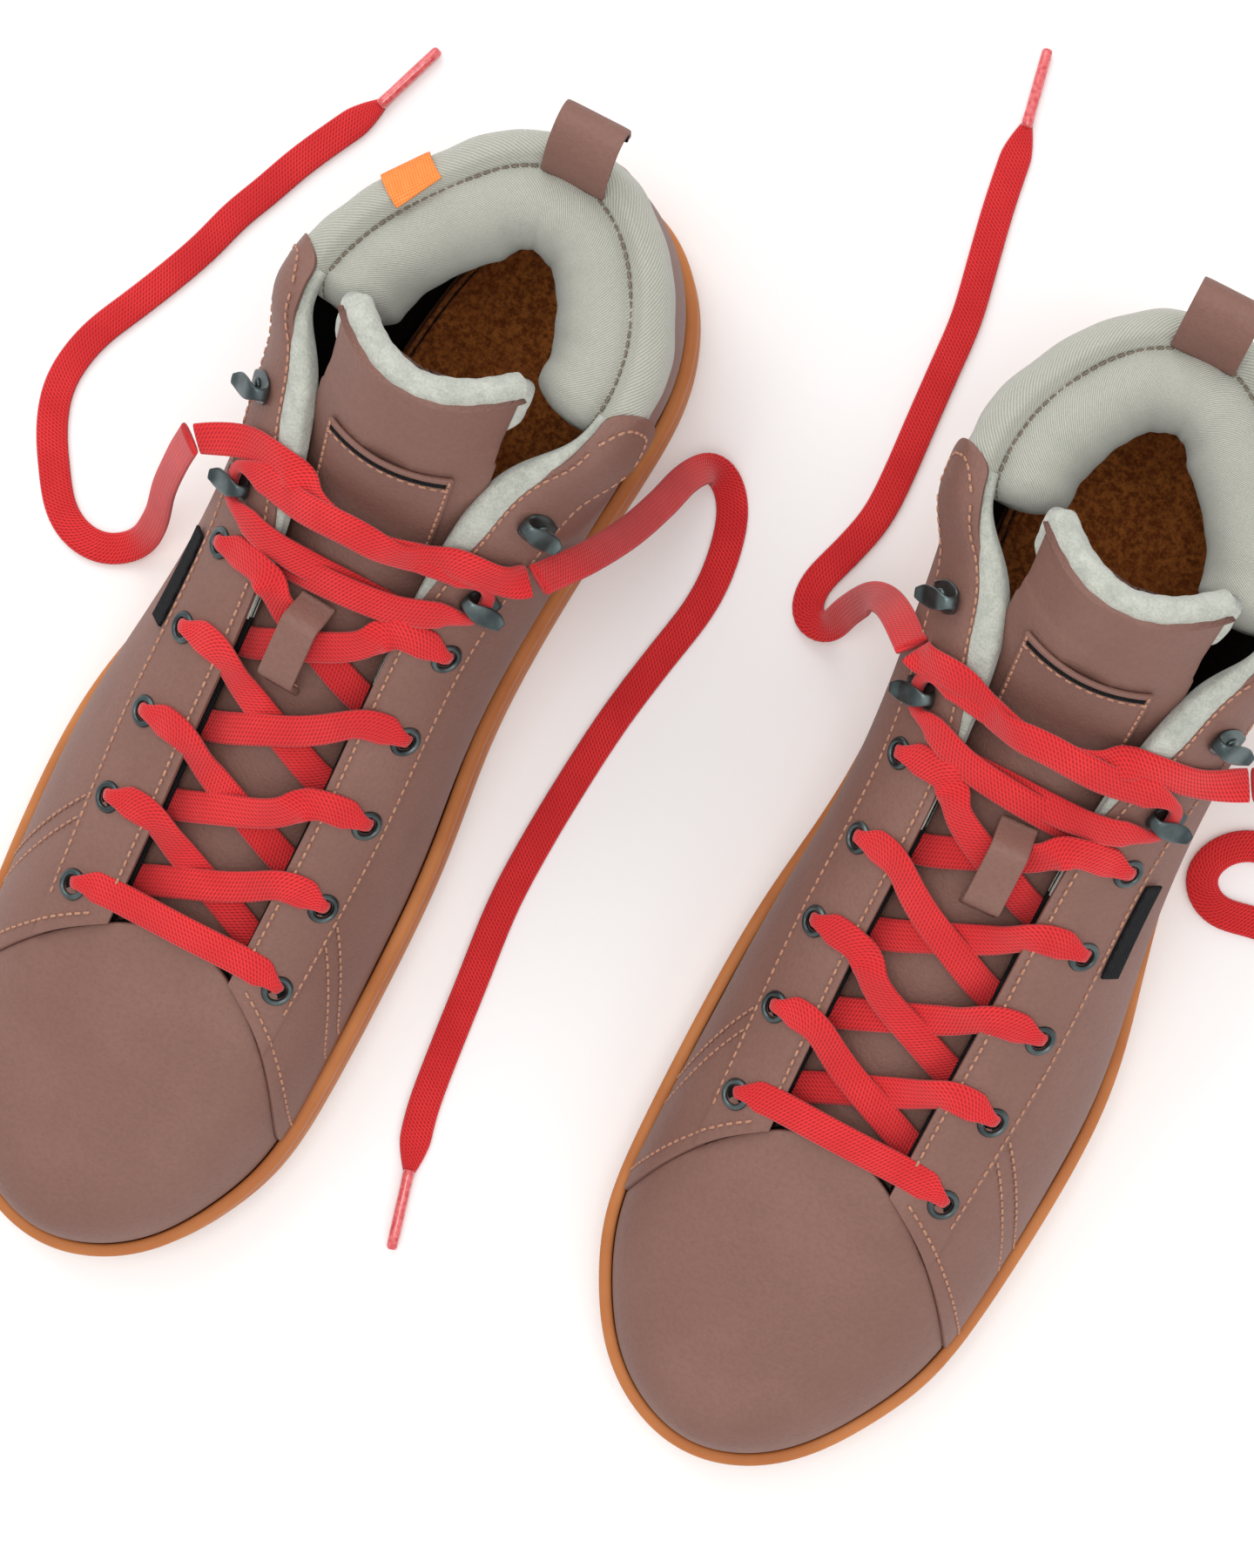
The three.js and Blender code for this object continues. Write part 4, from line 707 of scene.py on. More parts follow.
def vamp(s, v):
    """Outer face of the vamp: rib s from 8 to 12 on either side, v = 1 on the ridge."""
    s, v = np.broadcast_arrays(np.asarray(s, float), np.asarray(v, float))
    past = abs(s)
    i = np.floor(past).astype(int)
    tables = np.stack([VAMP_CONTROLS[-1], VAMP_CONTROLS[1]])
    side = (s > 0).astype(int)
    rows = [tables[side, np.clip(i + k - 7, 0, 7)] for k in (-1, 0, 1, 2)]
    controls = footed(blended(*rows, (past - i)[..., None, None]), s)
    point = bezier(controls, np.maximum(v, 0))
    point[..., 2] = np.where(v < 0, CUP_FLOOR + SEAM_GAP, point[..., 2])
    return point


def normal_on(face, s, v, nearest, farthest):
    """Unit normal out of a face: cross product of its steps along s and v."""
    s, v = np.broadcast_arrays(np.asarray(s, float), np.asarray(v, float))
    kept = lambda rib: np.sign(s) * np.clip(abs(rib), nearest, farthest)
    along = face(kept(s + 0.01), v) - face(kept(s - 0.01), v)
    up = face(s, np.minimum(v + 0.01, 1)) - face(s, np.maximum(v - 0.01, 0))
    normal = unit(np.cross(along, up))
    guide = outward(s) + [0, 0, 0.5]
    return normal * np.where(np.sum(normal * guide, -1, keepdims=True) < 0, -1, 1)


def shaft_normal(s, v):
    """Unit normal out of the shaft; near the heel's middle rib it turns into the level direction."""
    s, v = np.broadcast_arrays(np.asarray(s, float), np.asarray(v, float))
    near_heel = np.clip(1 - abs(s) / 0.4, 0, 1)[..., None]
    flat = outward(s)
    safe = np.where(abs(s) < 0.05, 0.05, s)
    tilted = normal_on(shaft, safe, np.clip(v, 0.01, 1), 0, THROAT)
    return unit(tilted * (1 - near_heel) + flat * near_heel)


def under(s, v, depth):
    """A point below the outer face of the shaft; a negative depth is above it."""
    return shaft(s, v) - shaft_normal(s, v) * np.asarray(depth, float)[..., None]


def under_vamp(s, v, depth):
    """A point below the outer face of the vamp."""
    normal = normal_on(vamp, s, np.clip(v, 0.02, 0.97), THROAT, TOE)
    return vamp(s, v) - normal * np.asarray(depth, float)[..., None]


def smooth(low, high, value):
    """0 before low, 1 past high, and f squared times (3 - 2f) between them."""
    f = np.clip((value - low) / (high - low), 0, 1)
    return f * f * (3 - 2 * f)


# ---------------------------------------------------------------- sole
DENSE = np.linspace(-TOE, TOE, 1201)


def edge_pairs(inset, rows):
    """Outer and inner edge of the inset outline at the same places from heel to toe."""
    edge = outline(DENSE) - outward(DENSE) * inset
    toe, heel = edge[:, 1].min(), edge[:, 1].max()
    split = edge[:, 1].argmax()
    y = heel + (toe - heel) * (1 - np.cos(np.linspace(0, math.pi, rows))) / 2
    inner, outer = edge[: split + 1], edge[split:][::-1]
    lie = lambda part: np.interp(y, part[:, 1], part[:, 0])
    return lie(outer), lie(inner), y


def sole_ring(inset, height, rows=150):
    """One closed ring: down the outer side from the heel and back up the inner side."""
    outer, inner, y = edge_pairs(inset, rows)
    x = np.concatenate([outer, inner[-2:0:-1]])
    return np.stack([x, np.concatenate([y, y[-2:0:-1]]), 0 * x + height], 1)


def sole_plate(inset, height, rows=150, columns=41, relief=None):
    """A plate that fills a ring: straight rows from its inner to its outer edge.

    The relief is added to its height, and fades out towards the rim.
    """
    outer, inner, y = edge_pairs(inset, rows)
    f = np.linspace(0, 1, columns)
    x = inner[:, None] + (outer - inner)[:, None] * f
    y = np.broadcast_to(y[:, None], x.shape)
    z = np.full_like(x, height)
    if relief is not None:
        lengthways = np.minimum(1, np.sin(np.linspace(0, math.pi, rows)) * 6)
        rim = np.minimum(1, 4 * f * (1 - f) * 3)[None, :] * lengthways[:, None]
        z = z + relief(x, y) * smooth(0.3, 0.95, rim)
    return np.stack([x, y, z], -1)


TREAD_DEPTH, TREAD_PITCH, WAIST_AT, WAIST_LENGTH = 1.8, 11, 22, 26


def tread(x, y):
    """A chevron tread: slanting sine grooves that meet on the middle line, shallow at the waist."""
    slant = np.abs(x) * 0.55 + y
    groove = smooth(0.55, 0.9, np.abs(np.sin(slant * math.pi / TREAD_PITCH)))
    waist = np.exp(-(((y - WAIST_AT) / WAIST_LENGTH) ** 2))
    return TREAD_DEPTH * (1 - groove) * (1 - 0.8 * waist)


# Inset and height of the sole's side wall, from its base, over the rim, to the floor of the cup.
CUP_PROFILE = [
    (2.3, 0), (1.2, 0.25), (0.4, 1.0), (0.02, 2.3), (0, 5), (0, 14.4), (0.45, 14.9), (0.45, 15.3),
    (0, 15.8), (0, 20.2), (0.15, 21.1), (0.7, 21.8), (1.5, 22), (2.6, 22), (3.1, 21.7), (3.2, 21.2),
    (3.2, 14),
]


def outsole(foot):
    """A cup: one ring of the outline for each step of its profile, closed by a tread and a floor."""
    rings = np.stack([sole_ring(inset, height) for inset, height in CUP_PROFILE])
    shape = Shape()
    wall = strip_faces(rings.shape[0], rings.shape[1], True)
    shape.add(rings, wall[:, ::-1], grid_uv(rings))
    base = sole_plate(*CUP_PROFILE[0], relief=tread)
    floor = sole_plate(*CUP_PROFILE[-1])
    shape.add(base, strip_faces(*base.shape[:2])[:, ::-1], grid_uv(base))
    shape.add(floor, strip_faces(*floor.shape[:2]), grid_uv(floor))
    build(foot + "_cup_sole", shape, GUM, "gum", foot, replaces=[foot + "_outsole"])


# Inset and height of the footbed's edge, from its base to its top.
FOOTBED_PROFILE = [(10.2, 17.6), (9.7, 18.2), (9.6, 20.5), (9.7, 23.4), (10.3, 24.1), (11.2, 23.9)]


def footbed(foot):
    """A moulded footbed: flat under the ball, dished at the heel, with its edge turned up a little."""
    rings = np.stack([sole_ring(inset, height) for inset, height in FOOTBED_PROFILE])
    base = sole_plate(*FOOTBED_PROFILE[0])
    dish = lambda x, y: -1.6 * smooth(40, 110, y) - 0.7 + 0 * x
    top = sole_plate(*FOOTBED_PROFILE[-1], relief=dish)
    shape = Shape().add(rings, strip_faces(*rings.shape[:2], True)[:, ::-1], grid_uv(rings))
    shape.add(base, strip_faces(*base.shape[:2])[:, ::-1]).add(top, strip_faces(*top.shape[:2]))
    build(foot + "_suede_footbed", shape, SUEDE, "footbed", foot, replaces=[foot + "_footbed"])


# ---------------------------------------------------------------- leather panels
def panel(foot, name, points, paint, slot, thickness, edge, **more):
    """A sheet through a grid of points, given its thickness inwards."""
    shape = Shape().grid(points)
    return thicken(build(foot + name, shape, paint, slot, foot, **more), thickness, edge)


def vamp_piece(foot):
    """Both halves of the toe in one sheet: ribs 8 to 12, up the inner side and down the outer."""
    ribs = np.linspace(THROAT, TOE, 61)[:, None]
    share = np.concatenate([[-1], np.linspace(0, 1, 45)])
    half = lambda side: under_vamp(side * ribs, share[None, :], 0 * ribs * share)
    whole = np.concatenate([half(-1), half(1)[:, -2::-1]], 1)
    node, turned = foot + "_vamp", whole[:, ::-1]
    panel(foot, "_vamp_leather", turned, LEATHER_SKIN, "leather", 2.0, 0.5, replaces=[node])
    inside = lambda side: under_vamp(side * ribs, share[None, 1:], 3.9 + 0 * ribs * share[1:])
    lined = np.concatenate([inside(-1), inside(1)[:, -2::-1]], 1)
    node, turned = foot + "_vamp_lining", lined[:, ::-1]
    panel(foot, "_toe_lining", turned, BLACK_CLOTH, "felt", 1.2, 0, replaces=[node])


FRONT_RAISE = 1.0  # of the quarter's front edge, which laps over the vamp


def quarter_raise(s):
    """How far the quarter stands proud at rib s: FRONT_RAISE where it laps over the vamp."""
    return FRONT_RAISE * smooth(7.2, 8, abs(s))


def quarter(foot, side, name):
    """One side of the shaft: ribs from heel to throat, from inside the sole up to the collar."""
    s = np.linspace(0, THROAT, 97)[:, None] * side
    v = np.concatenate([[-1], np.linspace(0, 0.71, 34)])[None, :]
    points = under(s, v, -quarter_raise(s) + 0 * v)
    points = points if side > 0 else points[::-1]
    node = f"{foot}_quarter_{name}"
    panel(foot, f"_quarter_leather_{name}", points, LEATHER_SKIN, "leather", 1.9, 0.4, replaces=[node])


def heel_strip(foot):
    """A narrow strip over the back seam, a little wider at the sole."""
    v = np.linspace(0, 0.69, 30)[None, :]
    w = np.linspace(-1, 1, 13)[:, None]
    points = under(w * (0.62 - 0.22 * v), v, -0.9 + 0 * w * v)
    panel(foot, "_back_strip", points, LEATHER_SKIN, "leather", 1.0, 0.35)


STAY_LOW, STAY_HIGH, STAY_TIP = 0.68, 0.945, 3.5


def stay_high(s):
    """Upper edge of the eyestay: on the crest at its tip, lower beside the felt, full width below."""
    return STAY_HIGH + 0.035 * smooth(4.5, 4.0, abs(s)) + 0.05 * smooth(5.2, 6.1, abs(s))


def stay_share(s, w):
    """Share v across the eyestay, whose top end is rounded; w goes from 0 to 1."""
    left = np.clip((abs(s) - STAY_TIP) / 0.3, 0, 1)
    fuller = np.sqrt(np.maximum(1 - (1 - left) ** 2.6, 0.0))
    high = stay_high(s)
    return (high + STAY_LOW) / 2 + (2 * w - 1) * (high - STAY_LOW) / 2 * fuller


def stay_raise(s):
    """How far the eyestay stands above the shaft: more over the collar pad and at its front wing."""
    return 0.9 + 3.4 * smooth(4.7, 3.9, abs(s)) + 0.9 * smooth(7.2, 8, abs(s))


def eyestay(foot, side, name):
    """The facing: ribs from its rounded tip to the throat, with its lacing edge rolled down."""
    s = (STAY_TIP + (THROAT - STAY_TIP) * np.linspace(0, 1, 120) ** 1.4)[:, None] * side
    w = np.linspace(0, 1, 17)[None, :]
    v = stay_share(s, w)
    roll = 0.7 * smooth(0.75, 1, w)
    points = under(s, v, -stay_raise(s) + roll)
    points = points if side > 0 else points[::-1]
    node = f"{foot}_eyestay_{name}"
    panel(foot, f"_eyestay_leather_{name}", points, LEATHER_SKIN, "leather", 1.5, 0.4, replaces=[node])


def closed_curve(points, count):
    """Closed Catmull-Rom curve, count samples in all, through points given as (..., n, 3)."""
    n = points.shape[-2]
    t = np.arange(count) * n / count
    i = np.floor(t).astype(int)
    rows = [np.take(points, (i + k) % n, axis=-2) for k in (-1, 0, 1, 2)]
    return blended(*rows, (t - i)[:, None])


# Section of the felt lip: its share up the shaft, its depth below the leather, and how far it
# reaches past the top edge.
FELT_LIP = np.array([
    (0.9, 0.3), (0.93, -0.5), (0.965, -1.0), (1.0, -0.3), (1.0, 2.2), (1.0, 4.3), (0.96, 5.3),
    (0.9, 5.2),
])
FELT_REACH = np.array([0, 0, 0, 0.5, 1.1, 0.6, 0, 0])


def facing_felt(foot, side, name):
    """The padded felt edge of a facing: a rolled lip from under the eyestay round to the lining."""
    s = np.linspace(3.7, 6.3, 70)[:, None] * side
    shown = 1 - smooth(5.2, 6.2, abs(s))
    v = FELT_LIP[None, :, 0]
    depth = FELT_LIP[None, :, 1] * (0.55 + 0.45 * shown) + 2.4 * (1 - shown)
    section_points = under(s, v, depth)
    towards = unit(shaft(s, 1.0 + 0 * v) - shaft(s, 0.9 + 0 * v))
    section_points = section_points + towards * (FELT_REACH[None, :] * (2 * shown - 1))[..., None]
    rings = closed_curve(section_points, 28)
    build(f"{foot}_facing_felt_{name}", Shape().tube(rings), FLEECE, "felt", foot)


LINING_DEPTH = 4.1


def lining(foot):
    """The cloth inside the shaft, cut low where the collar pad covers it."""
    s = np.linspace(-THROAT, THROAT, 193)[:, None]
    top = np.where(abs(s) < 4.05, 0.6, 0.93 + 0.06 * smooth(4.6, 6, abs(s)))
    v = np.linspace(0, 1, 26)[None, :] * top
    points = under(s, v, LINING_DEPTH + 0 * v)
    panel(foot, "_shaft_lining", points, BLACK_CLOTH, "felt", 1.1, 0, replaces=[foot + "_lining"])


# ---------------------------------------------------------------- collar
COLLAR_END = 3.93  # the rib where the pad ends, on both sides
COLLAR_COLUMNS = 84  # samples round its section, for its 15 stops
GROOVE_COLUMN, ROLL_COLUMNS = 28, slice(30, 72)
ROLL = np.array([(4, 1.2), (9, 2.6), (14.5, 0), (18, -7.5), (17.8, -17), (13, -27)])


def collar_rings():
    """Section round the collar: the outer felt band, a groove on the crest, and the inner roll."""
    t = np.linspace(-1, 1, 181)
    s = COLLAR_END * np.sin(t * math.pi / 2)[:, None]
    inward = -outward(s)
    crest = shaft(s, 1.0)
    puff = lambda v, out: under(s, v, -np.full_like(s, out))
    groove = crest + inward * 1.0 + [0, 0, -1.3]
    roll = [crest + inward * a + [0, 0, b] for a, b in ROLL]
    low = [under(s, 0.56, WALL + 0 * s), under(s, 0.56, 3.2 + 0 * s), under(s, 0.66, 3.0 + 0 * s)]
    # The pad puffs over the panels between its seams.
    band = [puff(0.69, 0.3), puff(0.76, 2.6), puff(0.86, 3.6), puff(0.95, 2.4), crest + [0, 0, -0.2]]
    rings = closed_curve(np.concatenate([*band, groove, *roll, *low], 1), COLLAR_COLUMNS)
    share = np.sqrt(np.maximum(1 - np.clip((abs(s) - 3.62) / 0.32, 0, 1) ** 2, 0.02))[:, :, None]
    middle = rings.mean(1, keepdims=True)
    return middle + (rings - middle) * share


def collar(foot):
    """The stuffed pad: rings pushed in and out by three slow waves; its inner roll is smoother felt."""
    rings = collar_rings()
    s = np.linspace(0, 1, rings.shape[0])[:, None]
    j = np.arange(rings.shape[1])[None, :] / rings.shape[1]
    wave = np.sin(s * 61 + j * 9) * 0.16 + np.sin(s * 113 - j * 15) * 0.09
    wave = wave + np.sin(s * 29 + j * 21) * 0.18
    middle = rings.mean(1, keepdims=True)
    rings = rings + unit(rings - middle) * wave[..., None]
    felts, node = [COLLAR_FELT, ROLL_FELT], foot + "_collar"
    piece = build(node + "_pad", Shape().tube(rings), felts, "felt", foot, replaces=[node], merge=0)
    felt_of = np.zeros((len(rings) - 1, COLLAR_COLUMNS), int)
    felt_of[:, ROLL_COLUMNS] = 1
    ends = np.ones(2 * COLLAR_COLUMNS, int)
    piece.data.polygons.foreach_set("material_index", np.concatenate([felt_of.ravel(), ends]))


# ---------------------------------------------------------------- tongue
HINGE = np.array([3.0, 59.0, 129.0])
TONGUE_RIBS = [(7.8, 5.5), (7.1, 7.3), (6.5, 9.5), (6.0, 11.5), (5.6, 13.0)]
UNDER_LACE = 10.1
FREE_RISES = [-0.6, 7, 14, 19, 22]
TONGUE_END = 1 + len(TONGUE_RIBS) + len(FREE_RISES)  # number of its last row
FREE_ROW = 7  # the first row above the hinge


def tongue_rows(f):
    """Rows of the tongue's face at shares f across it: under the vamp, under the lacing, then free."""
    g = 2 * f - 1
    side = np.where(g < 0, -1, 1)
    rows = [under_vamp(side * s, 1 - 0.16 * abs(g), 5.7 + 0 * g) for s in (8.45, 8.09)]
    bow = (4 * f * (1 - f))[:, None]
    for s, crown in TONGUE_RIBS:
        inner, outer = (under(np.array(k * s), np.array(0.84), np.array(UNDER_LACE)) for k in (-1, 1))
        rows.append(inner + (outer - inner) * f[:, None] + bow * [0, 0, crown])
    for rise in FREE_RISES:
        middle = HINGE + [0, rise * 0.55, rise * 0.72]
        half = [23.2 + rise * 0.06, 0, 0]
        chord = middle + [0, 9 + rise * 0.15, -7] + (2 * f - 1)[:, None] * half
        rows.append(chord + bow * [0, -9 - rise * 0.15, 7])
    return np.stack(rows)


def tongue_point(r, f):
    """Point at row r and share f, on a Catmull-Rom curve from row to row."""
    r, f = np.broadcast_arrays(np.asarray(r, float), np.asarray(f, float))
    rows = tongue_rows(f.ravel())
    rows = np.concatenate([2 * rows[:1] - rows[1:2], rows, 2 * rows[-1:] - rows[-2:-1]])
    flat = r.ravel()
    i = np.clip(np.floor(flat).astype(int), 0, len(rows) - 4)
    pick = [rows[i + k, np.arange(len(flat))] for k in range(4)]
    return blended(*pick, (flat - i)[:, None]).reshape(*r.shape, 3)


def tongue_normal(r, f):
    """Unit normal out of the tongue: cross product of its steps across and along."""
    across = tongue_point(r, np.minimum(f + 0.03, 1)) - tongue_point(r, np.maximum(f - 0.03, 0))
    along = tongue_point(np.minimum(r + 0.05, TONGUE_END), f) - tongue_point(np.maximum(r - 0.05, 0), f)
    return unit(np.cross(across, along))


def on_tongue(r, f, height):
    """A point at a height above the tongue's face."""
    r, f = np.broadcast_arrays(np.asarray(r, float), np.asarray(f, float))
    return tongue_point(r, f) + tongue_normal(r, f) * np.asarray(height, float)[..., None]


def tongue(foot):
    """One closed pad: a rounded section at each row, thin under the lacing and thick at the top."""
    free = np.linspace(FREE_ROW, TONGUE_END, 60)[1:]
    r = np.concatenate([np.linspace(0, FREE_ROW, 120), free])[:, None]
    half = 2.2 + 2.6 * smooth(6.6, 8.2, r)
    end = np.clip((TONGUE_END - r) / 0.9, 0, 1)
    half = half * np.sqrt(np.maximum(1 - (1 - end) ** 2.2, 0.03))
    rim = section(64, 4.5)
    f = 0.5 + 0.5 * rim[None, :, 0] * (1 - 0.02 * (r > FREE_ROW))
    face = on_tongue(r, f + 0 * r, 0 * r * f)
    points = face + tongue_normal(r, f + 0 * r) * (half * (rim[None, :, 1] - 1) + 0.3)[..., None]
    name, nodes = foot + "_tongue_leather", [foot + "_tongue_lower", foot + "_tongue_top"]
    shape = Shape().tube(points)
    piece = build(name, shape, LEATHER_SKIN, "leather", foot, body=None, replaces=nodes)
    hinge = placed(HINGE, foot)
    start, stop = hinge - [0, 0.007, 0.006], hinge + [0, 0.006, 0.008]
    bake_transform(piece)


def tongue_fleece(foot):
    """The fleece backing that shows as a soft band down both edges and along the top of the tongue."""
    sides = np.linspace(7.9, TONGUE_END - 0.35, 14)
    across = np.linspace(0.02, 0.98, 25)
    top = TONGUE_END - 0.1 - 0.25 * (2 * across[1:-1] - 1) ** 6
    r = np.concatenate([sides, top, sides[::-1]])
    f = np.concatenate([0 * sides, across[1:-1], 0 * sides + 1])
    path = on_tongue(r, f, -5.2 + 0 * r)
    path = refined(path, 5)
    (path,) = evenly(path, 1.6)
    flat = np.broadcast_to([0, -0.6, 1.0], path.shape)
    rise = np.sin(np.clip(np.linspace(0, 1, len(path)) * 9, 0, 1) * math.pi / 2)
    fall = np.sin(np.clip(np.linspace(1, 0, len(path)) * 9, 0, 1) * math.pi / 2)
    size = 3.5 * np.maximum(rise * fall, 0.15)
    at = np.arange(len(path))
    bumpy = size * (1 + 0.03 * np.sin(at * 1.9) + 0.025 * np.sin(at * 0.7))
    rings = carried(path, flat, bumpy, bumpy * 1.05, section(22, 2.2))
    body = foot + "_tongue"
    piece = build(body + "_fleece", Shape().tube(rings), FLEECE, "felt", foot, body)


def facing_way(points, way):
    """The grid with its columns reversed where its faces would look away from the given direction."""
    across, along = points[0, -1] - points[0, 0], points[-1, 0] - points[0, 0]
    return points if np.dot(np.cross(across, along), way) > 0 else points[:, ::-1]


def patch(foot):
    """A leather patch laid on the tongue, rows 5.75 to 6.93, with a dark strip near its top edge that is
    painted shade in its slit.
    """
    r, f = np.linspace(5.75, 6.93, 26)[:, None], np.linspace(0.17, 0.83, 26)[None, :]
    points = facing_way(on_tongue(r + 0 * f, f + 0 * r, 1.7 + 0 * r * f), [0, -0.3, 1])
    node = foot + "_tongue_patch"
    panel(foot, "_tongue_patch_leather", points, LEATHER_SKIN, "leather", 1.2, 0.4, replaces=[node])
    # Painted shade: a black strip lies on the patch where its slit is.
    f = np.linspace(0.2, 0.8, 40)
    path = on_tongue(6.84 + 0 * f, f, 1.75 + 0 * f)
    normal = tongue_normal(6.84 + 0 * f, f)
    rings = carried(path, normal, 0.75, 0.3, section(10, 2))
    build(foot + "_patch_slit_painted_shade", Shape().tube(rings), BLACK_CLOTH, "leather", foot)


def keeper(foot):
    """The leather loop in the middle of the tongue that the lace runs under."""
    f = np.linspace(0, 1, 34)
    lift = 8 * smooth(0, 0.2, f) * smooth(1, 0.8, f)
    r = 3.94 + 0.82 * f
    path = on_tongue(r, 0.55 + 0 * f, 1.5 + lift)
    flat = tongue_normal(r, 0.55 + 0 * f)
    rings = carried(path, flat, 4.6, 0.75, section(20, 7))
    shape, node = Shape().tube(rings), foot + "_lace_keeper"
    build(foot + "_keeper", shape, LEATHER_SKIN, "leather", foot, replaces=[node])


# ---------------------------------------------------------------- hardware
HARDWARE_V, FIRST_EYELET, EYELET_PITCH, EYELETS = 0.79, 12.0, 23.5, 5
EYELET_PLACES = [FIRST_EYELET + k * EYELET_PITCH for k in range(EYELETS)]
HOOK_PLACES = [EYELET_PLACES[-1] + 16.5, EYELET_PLACES[-1] + 41]


def facing_ribs(side, places):
    """Rib numbers at given distances up the facing from the throat."""
    s = np.linspace(THROAT, COLLAR_RIB, 801)
    line = shaft(side * s, HARDWARE_V + 0 * s)
    walked = np.concatenate([[0], np.cumsum(np.linalg.norm(np.diff(line, axis=0), axis=1))])
    return np.interp(places, walked, s) * side


def seats(side, places):
    """Place, way out of the leather, way towards the sole and way up the facing at each distance."""
    s = facing_ribs(side, places)
    v = HARDWARE_V + 0 * s
    up = shaft_normal(s, v)
    inwards = shaft(s, 1 + 0 * s) - shaft(s, v)
    out = -unit(inwards - up * np.sum(inwards * up, -1, keepdims=True))
    return list(zip(under(s, v, -stay_raise(s)), up, out, np.cross(up, out)))


def spokes(out, along, count):
    """Unit directions evenly round a seat's way up: cosine times out and sine times along."""
    turn = np.arange(count) * TURN / count
    return np.cos(turn)[:, None] * out + np.sin(turn)[:, None] * along


# Radius and height of the eyelet's rolled rim, from its barrel, over the flange, and back.
EYELET_PROFILE = np.array([
    (2.25, -2.2), (2.3, -0.3), (2.4, 0.5), (2.75, 0.95), (3.3, 0.95), (3.75, 0.55), (3.95, 0.1),
    (3.9, -0.4), (2.9, -0.5), (2.7, -2.2),
])
# HOLE_RADIUS and HOLE_HEIGHTS size the dark disc of painted shade in each eyelet's hole.
HOLE_RADIUS, HOLE_HEIGHTS, EYELET_SIDES = 2.2, (0.02, -0.4), 28


def eyelets(foot, side, name):
    """Rolled metal rings: a lathe profile turned about each seat's way up, with a dark disc inside as
    painted shade in the hole.
    """
    shape, dark = Shape(), Shape()
    for at, up, out, along in seats(side, EYELET_PLACES):
        spoke = spokes(out, along, EYELET_SIDES)
        rings = at + spoke[:, None] * EYELET_PROFILE[None, :, :1] + up * EYELET_PROFILE[None, :, 1:]
        rings = np.concatenate([rings, rings[:1]])
        shape.add(rings, strip_faces(*rings.shape[:2], True), grid_uv(rings), True)
        # Painted shade: a black disc fills the hole inside the ring.
        dark.tube(np.stack([at + spoke * HOLE_RADIUS + up * lift for lift in HOLE_HEIGHTS]))
    node = f"{foot}_eyelets_{name}"
    build(f"{foot}_eyelet_rings_{name}", shape, METAL, "metal", foot, replaces=[node])
    build(f"{foot}_eyelet_holes_{name}", dark, BLACK_CLOTH, "leather", foot)


# The hook's strip: distance outwards from its seat and height above the leather, and half its width.
HOOK_PATH = np.array([
    (5.2, 0.35), (0.4, 0.35), (-3.6, 0.4), (-5.3, 0.9), (-5.9, 2.3), (-5.4, 3.8), (-3.8, 4.5),
    (-1, 4.7), (2.4, 4.9), (4.4, 5.9),
])
HOOK_HALF_WIDTH = np.array([2.6, 3.9, 3.2, 1.9, 1.5, 1.6, 2.2, 2.6, 2.4, 1.3])
HOOK_STOPS = np.concatenate([HOOK_PATH, HOOK_HALF_WIDTH[:, None]], 1)
HOOK_HALF_THICKNESS = 0.55
RIVET_AT, RIVET_DOME = 1.4, [(0.1, 1.75), (1.1, 1.7), (1.7, 1.35), (1.8, 0.6)]


def hooks(foot, side, name):
    """Speed hooks: an oval foot, a bent neck and a rounded beak, with a rivet on the foot."""
    steps = refined(HOOK_STOPS, 6)
    for (at, up, out, along), place in zip(seats(side, HOOK_PLACES), ("lower", "upper")):
        path = at + out * steps[:, :1] + up * steps[:, 1:2]
        flat = unit(np.cross(np.gradient(path, axis=0), along))
        rings = carried(path, flat, steps[:, 2], HOOK_HALF_THICKNESS, section(18, 2.8))
        spoke, seat = spokes(out, along, 20), at + out * RIVET_AT
        dome = np.stack([seat + spoke * radius + up * height for radius, height in RIVET_DOME])
        node = f"{foot}_hook_{place}_{name}"
        build(node + "_bent", Shape().tube(rings).tube(dome), METAL, "metal", foot, replaces=[node])


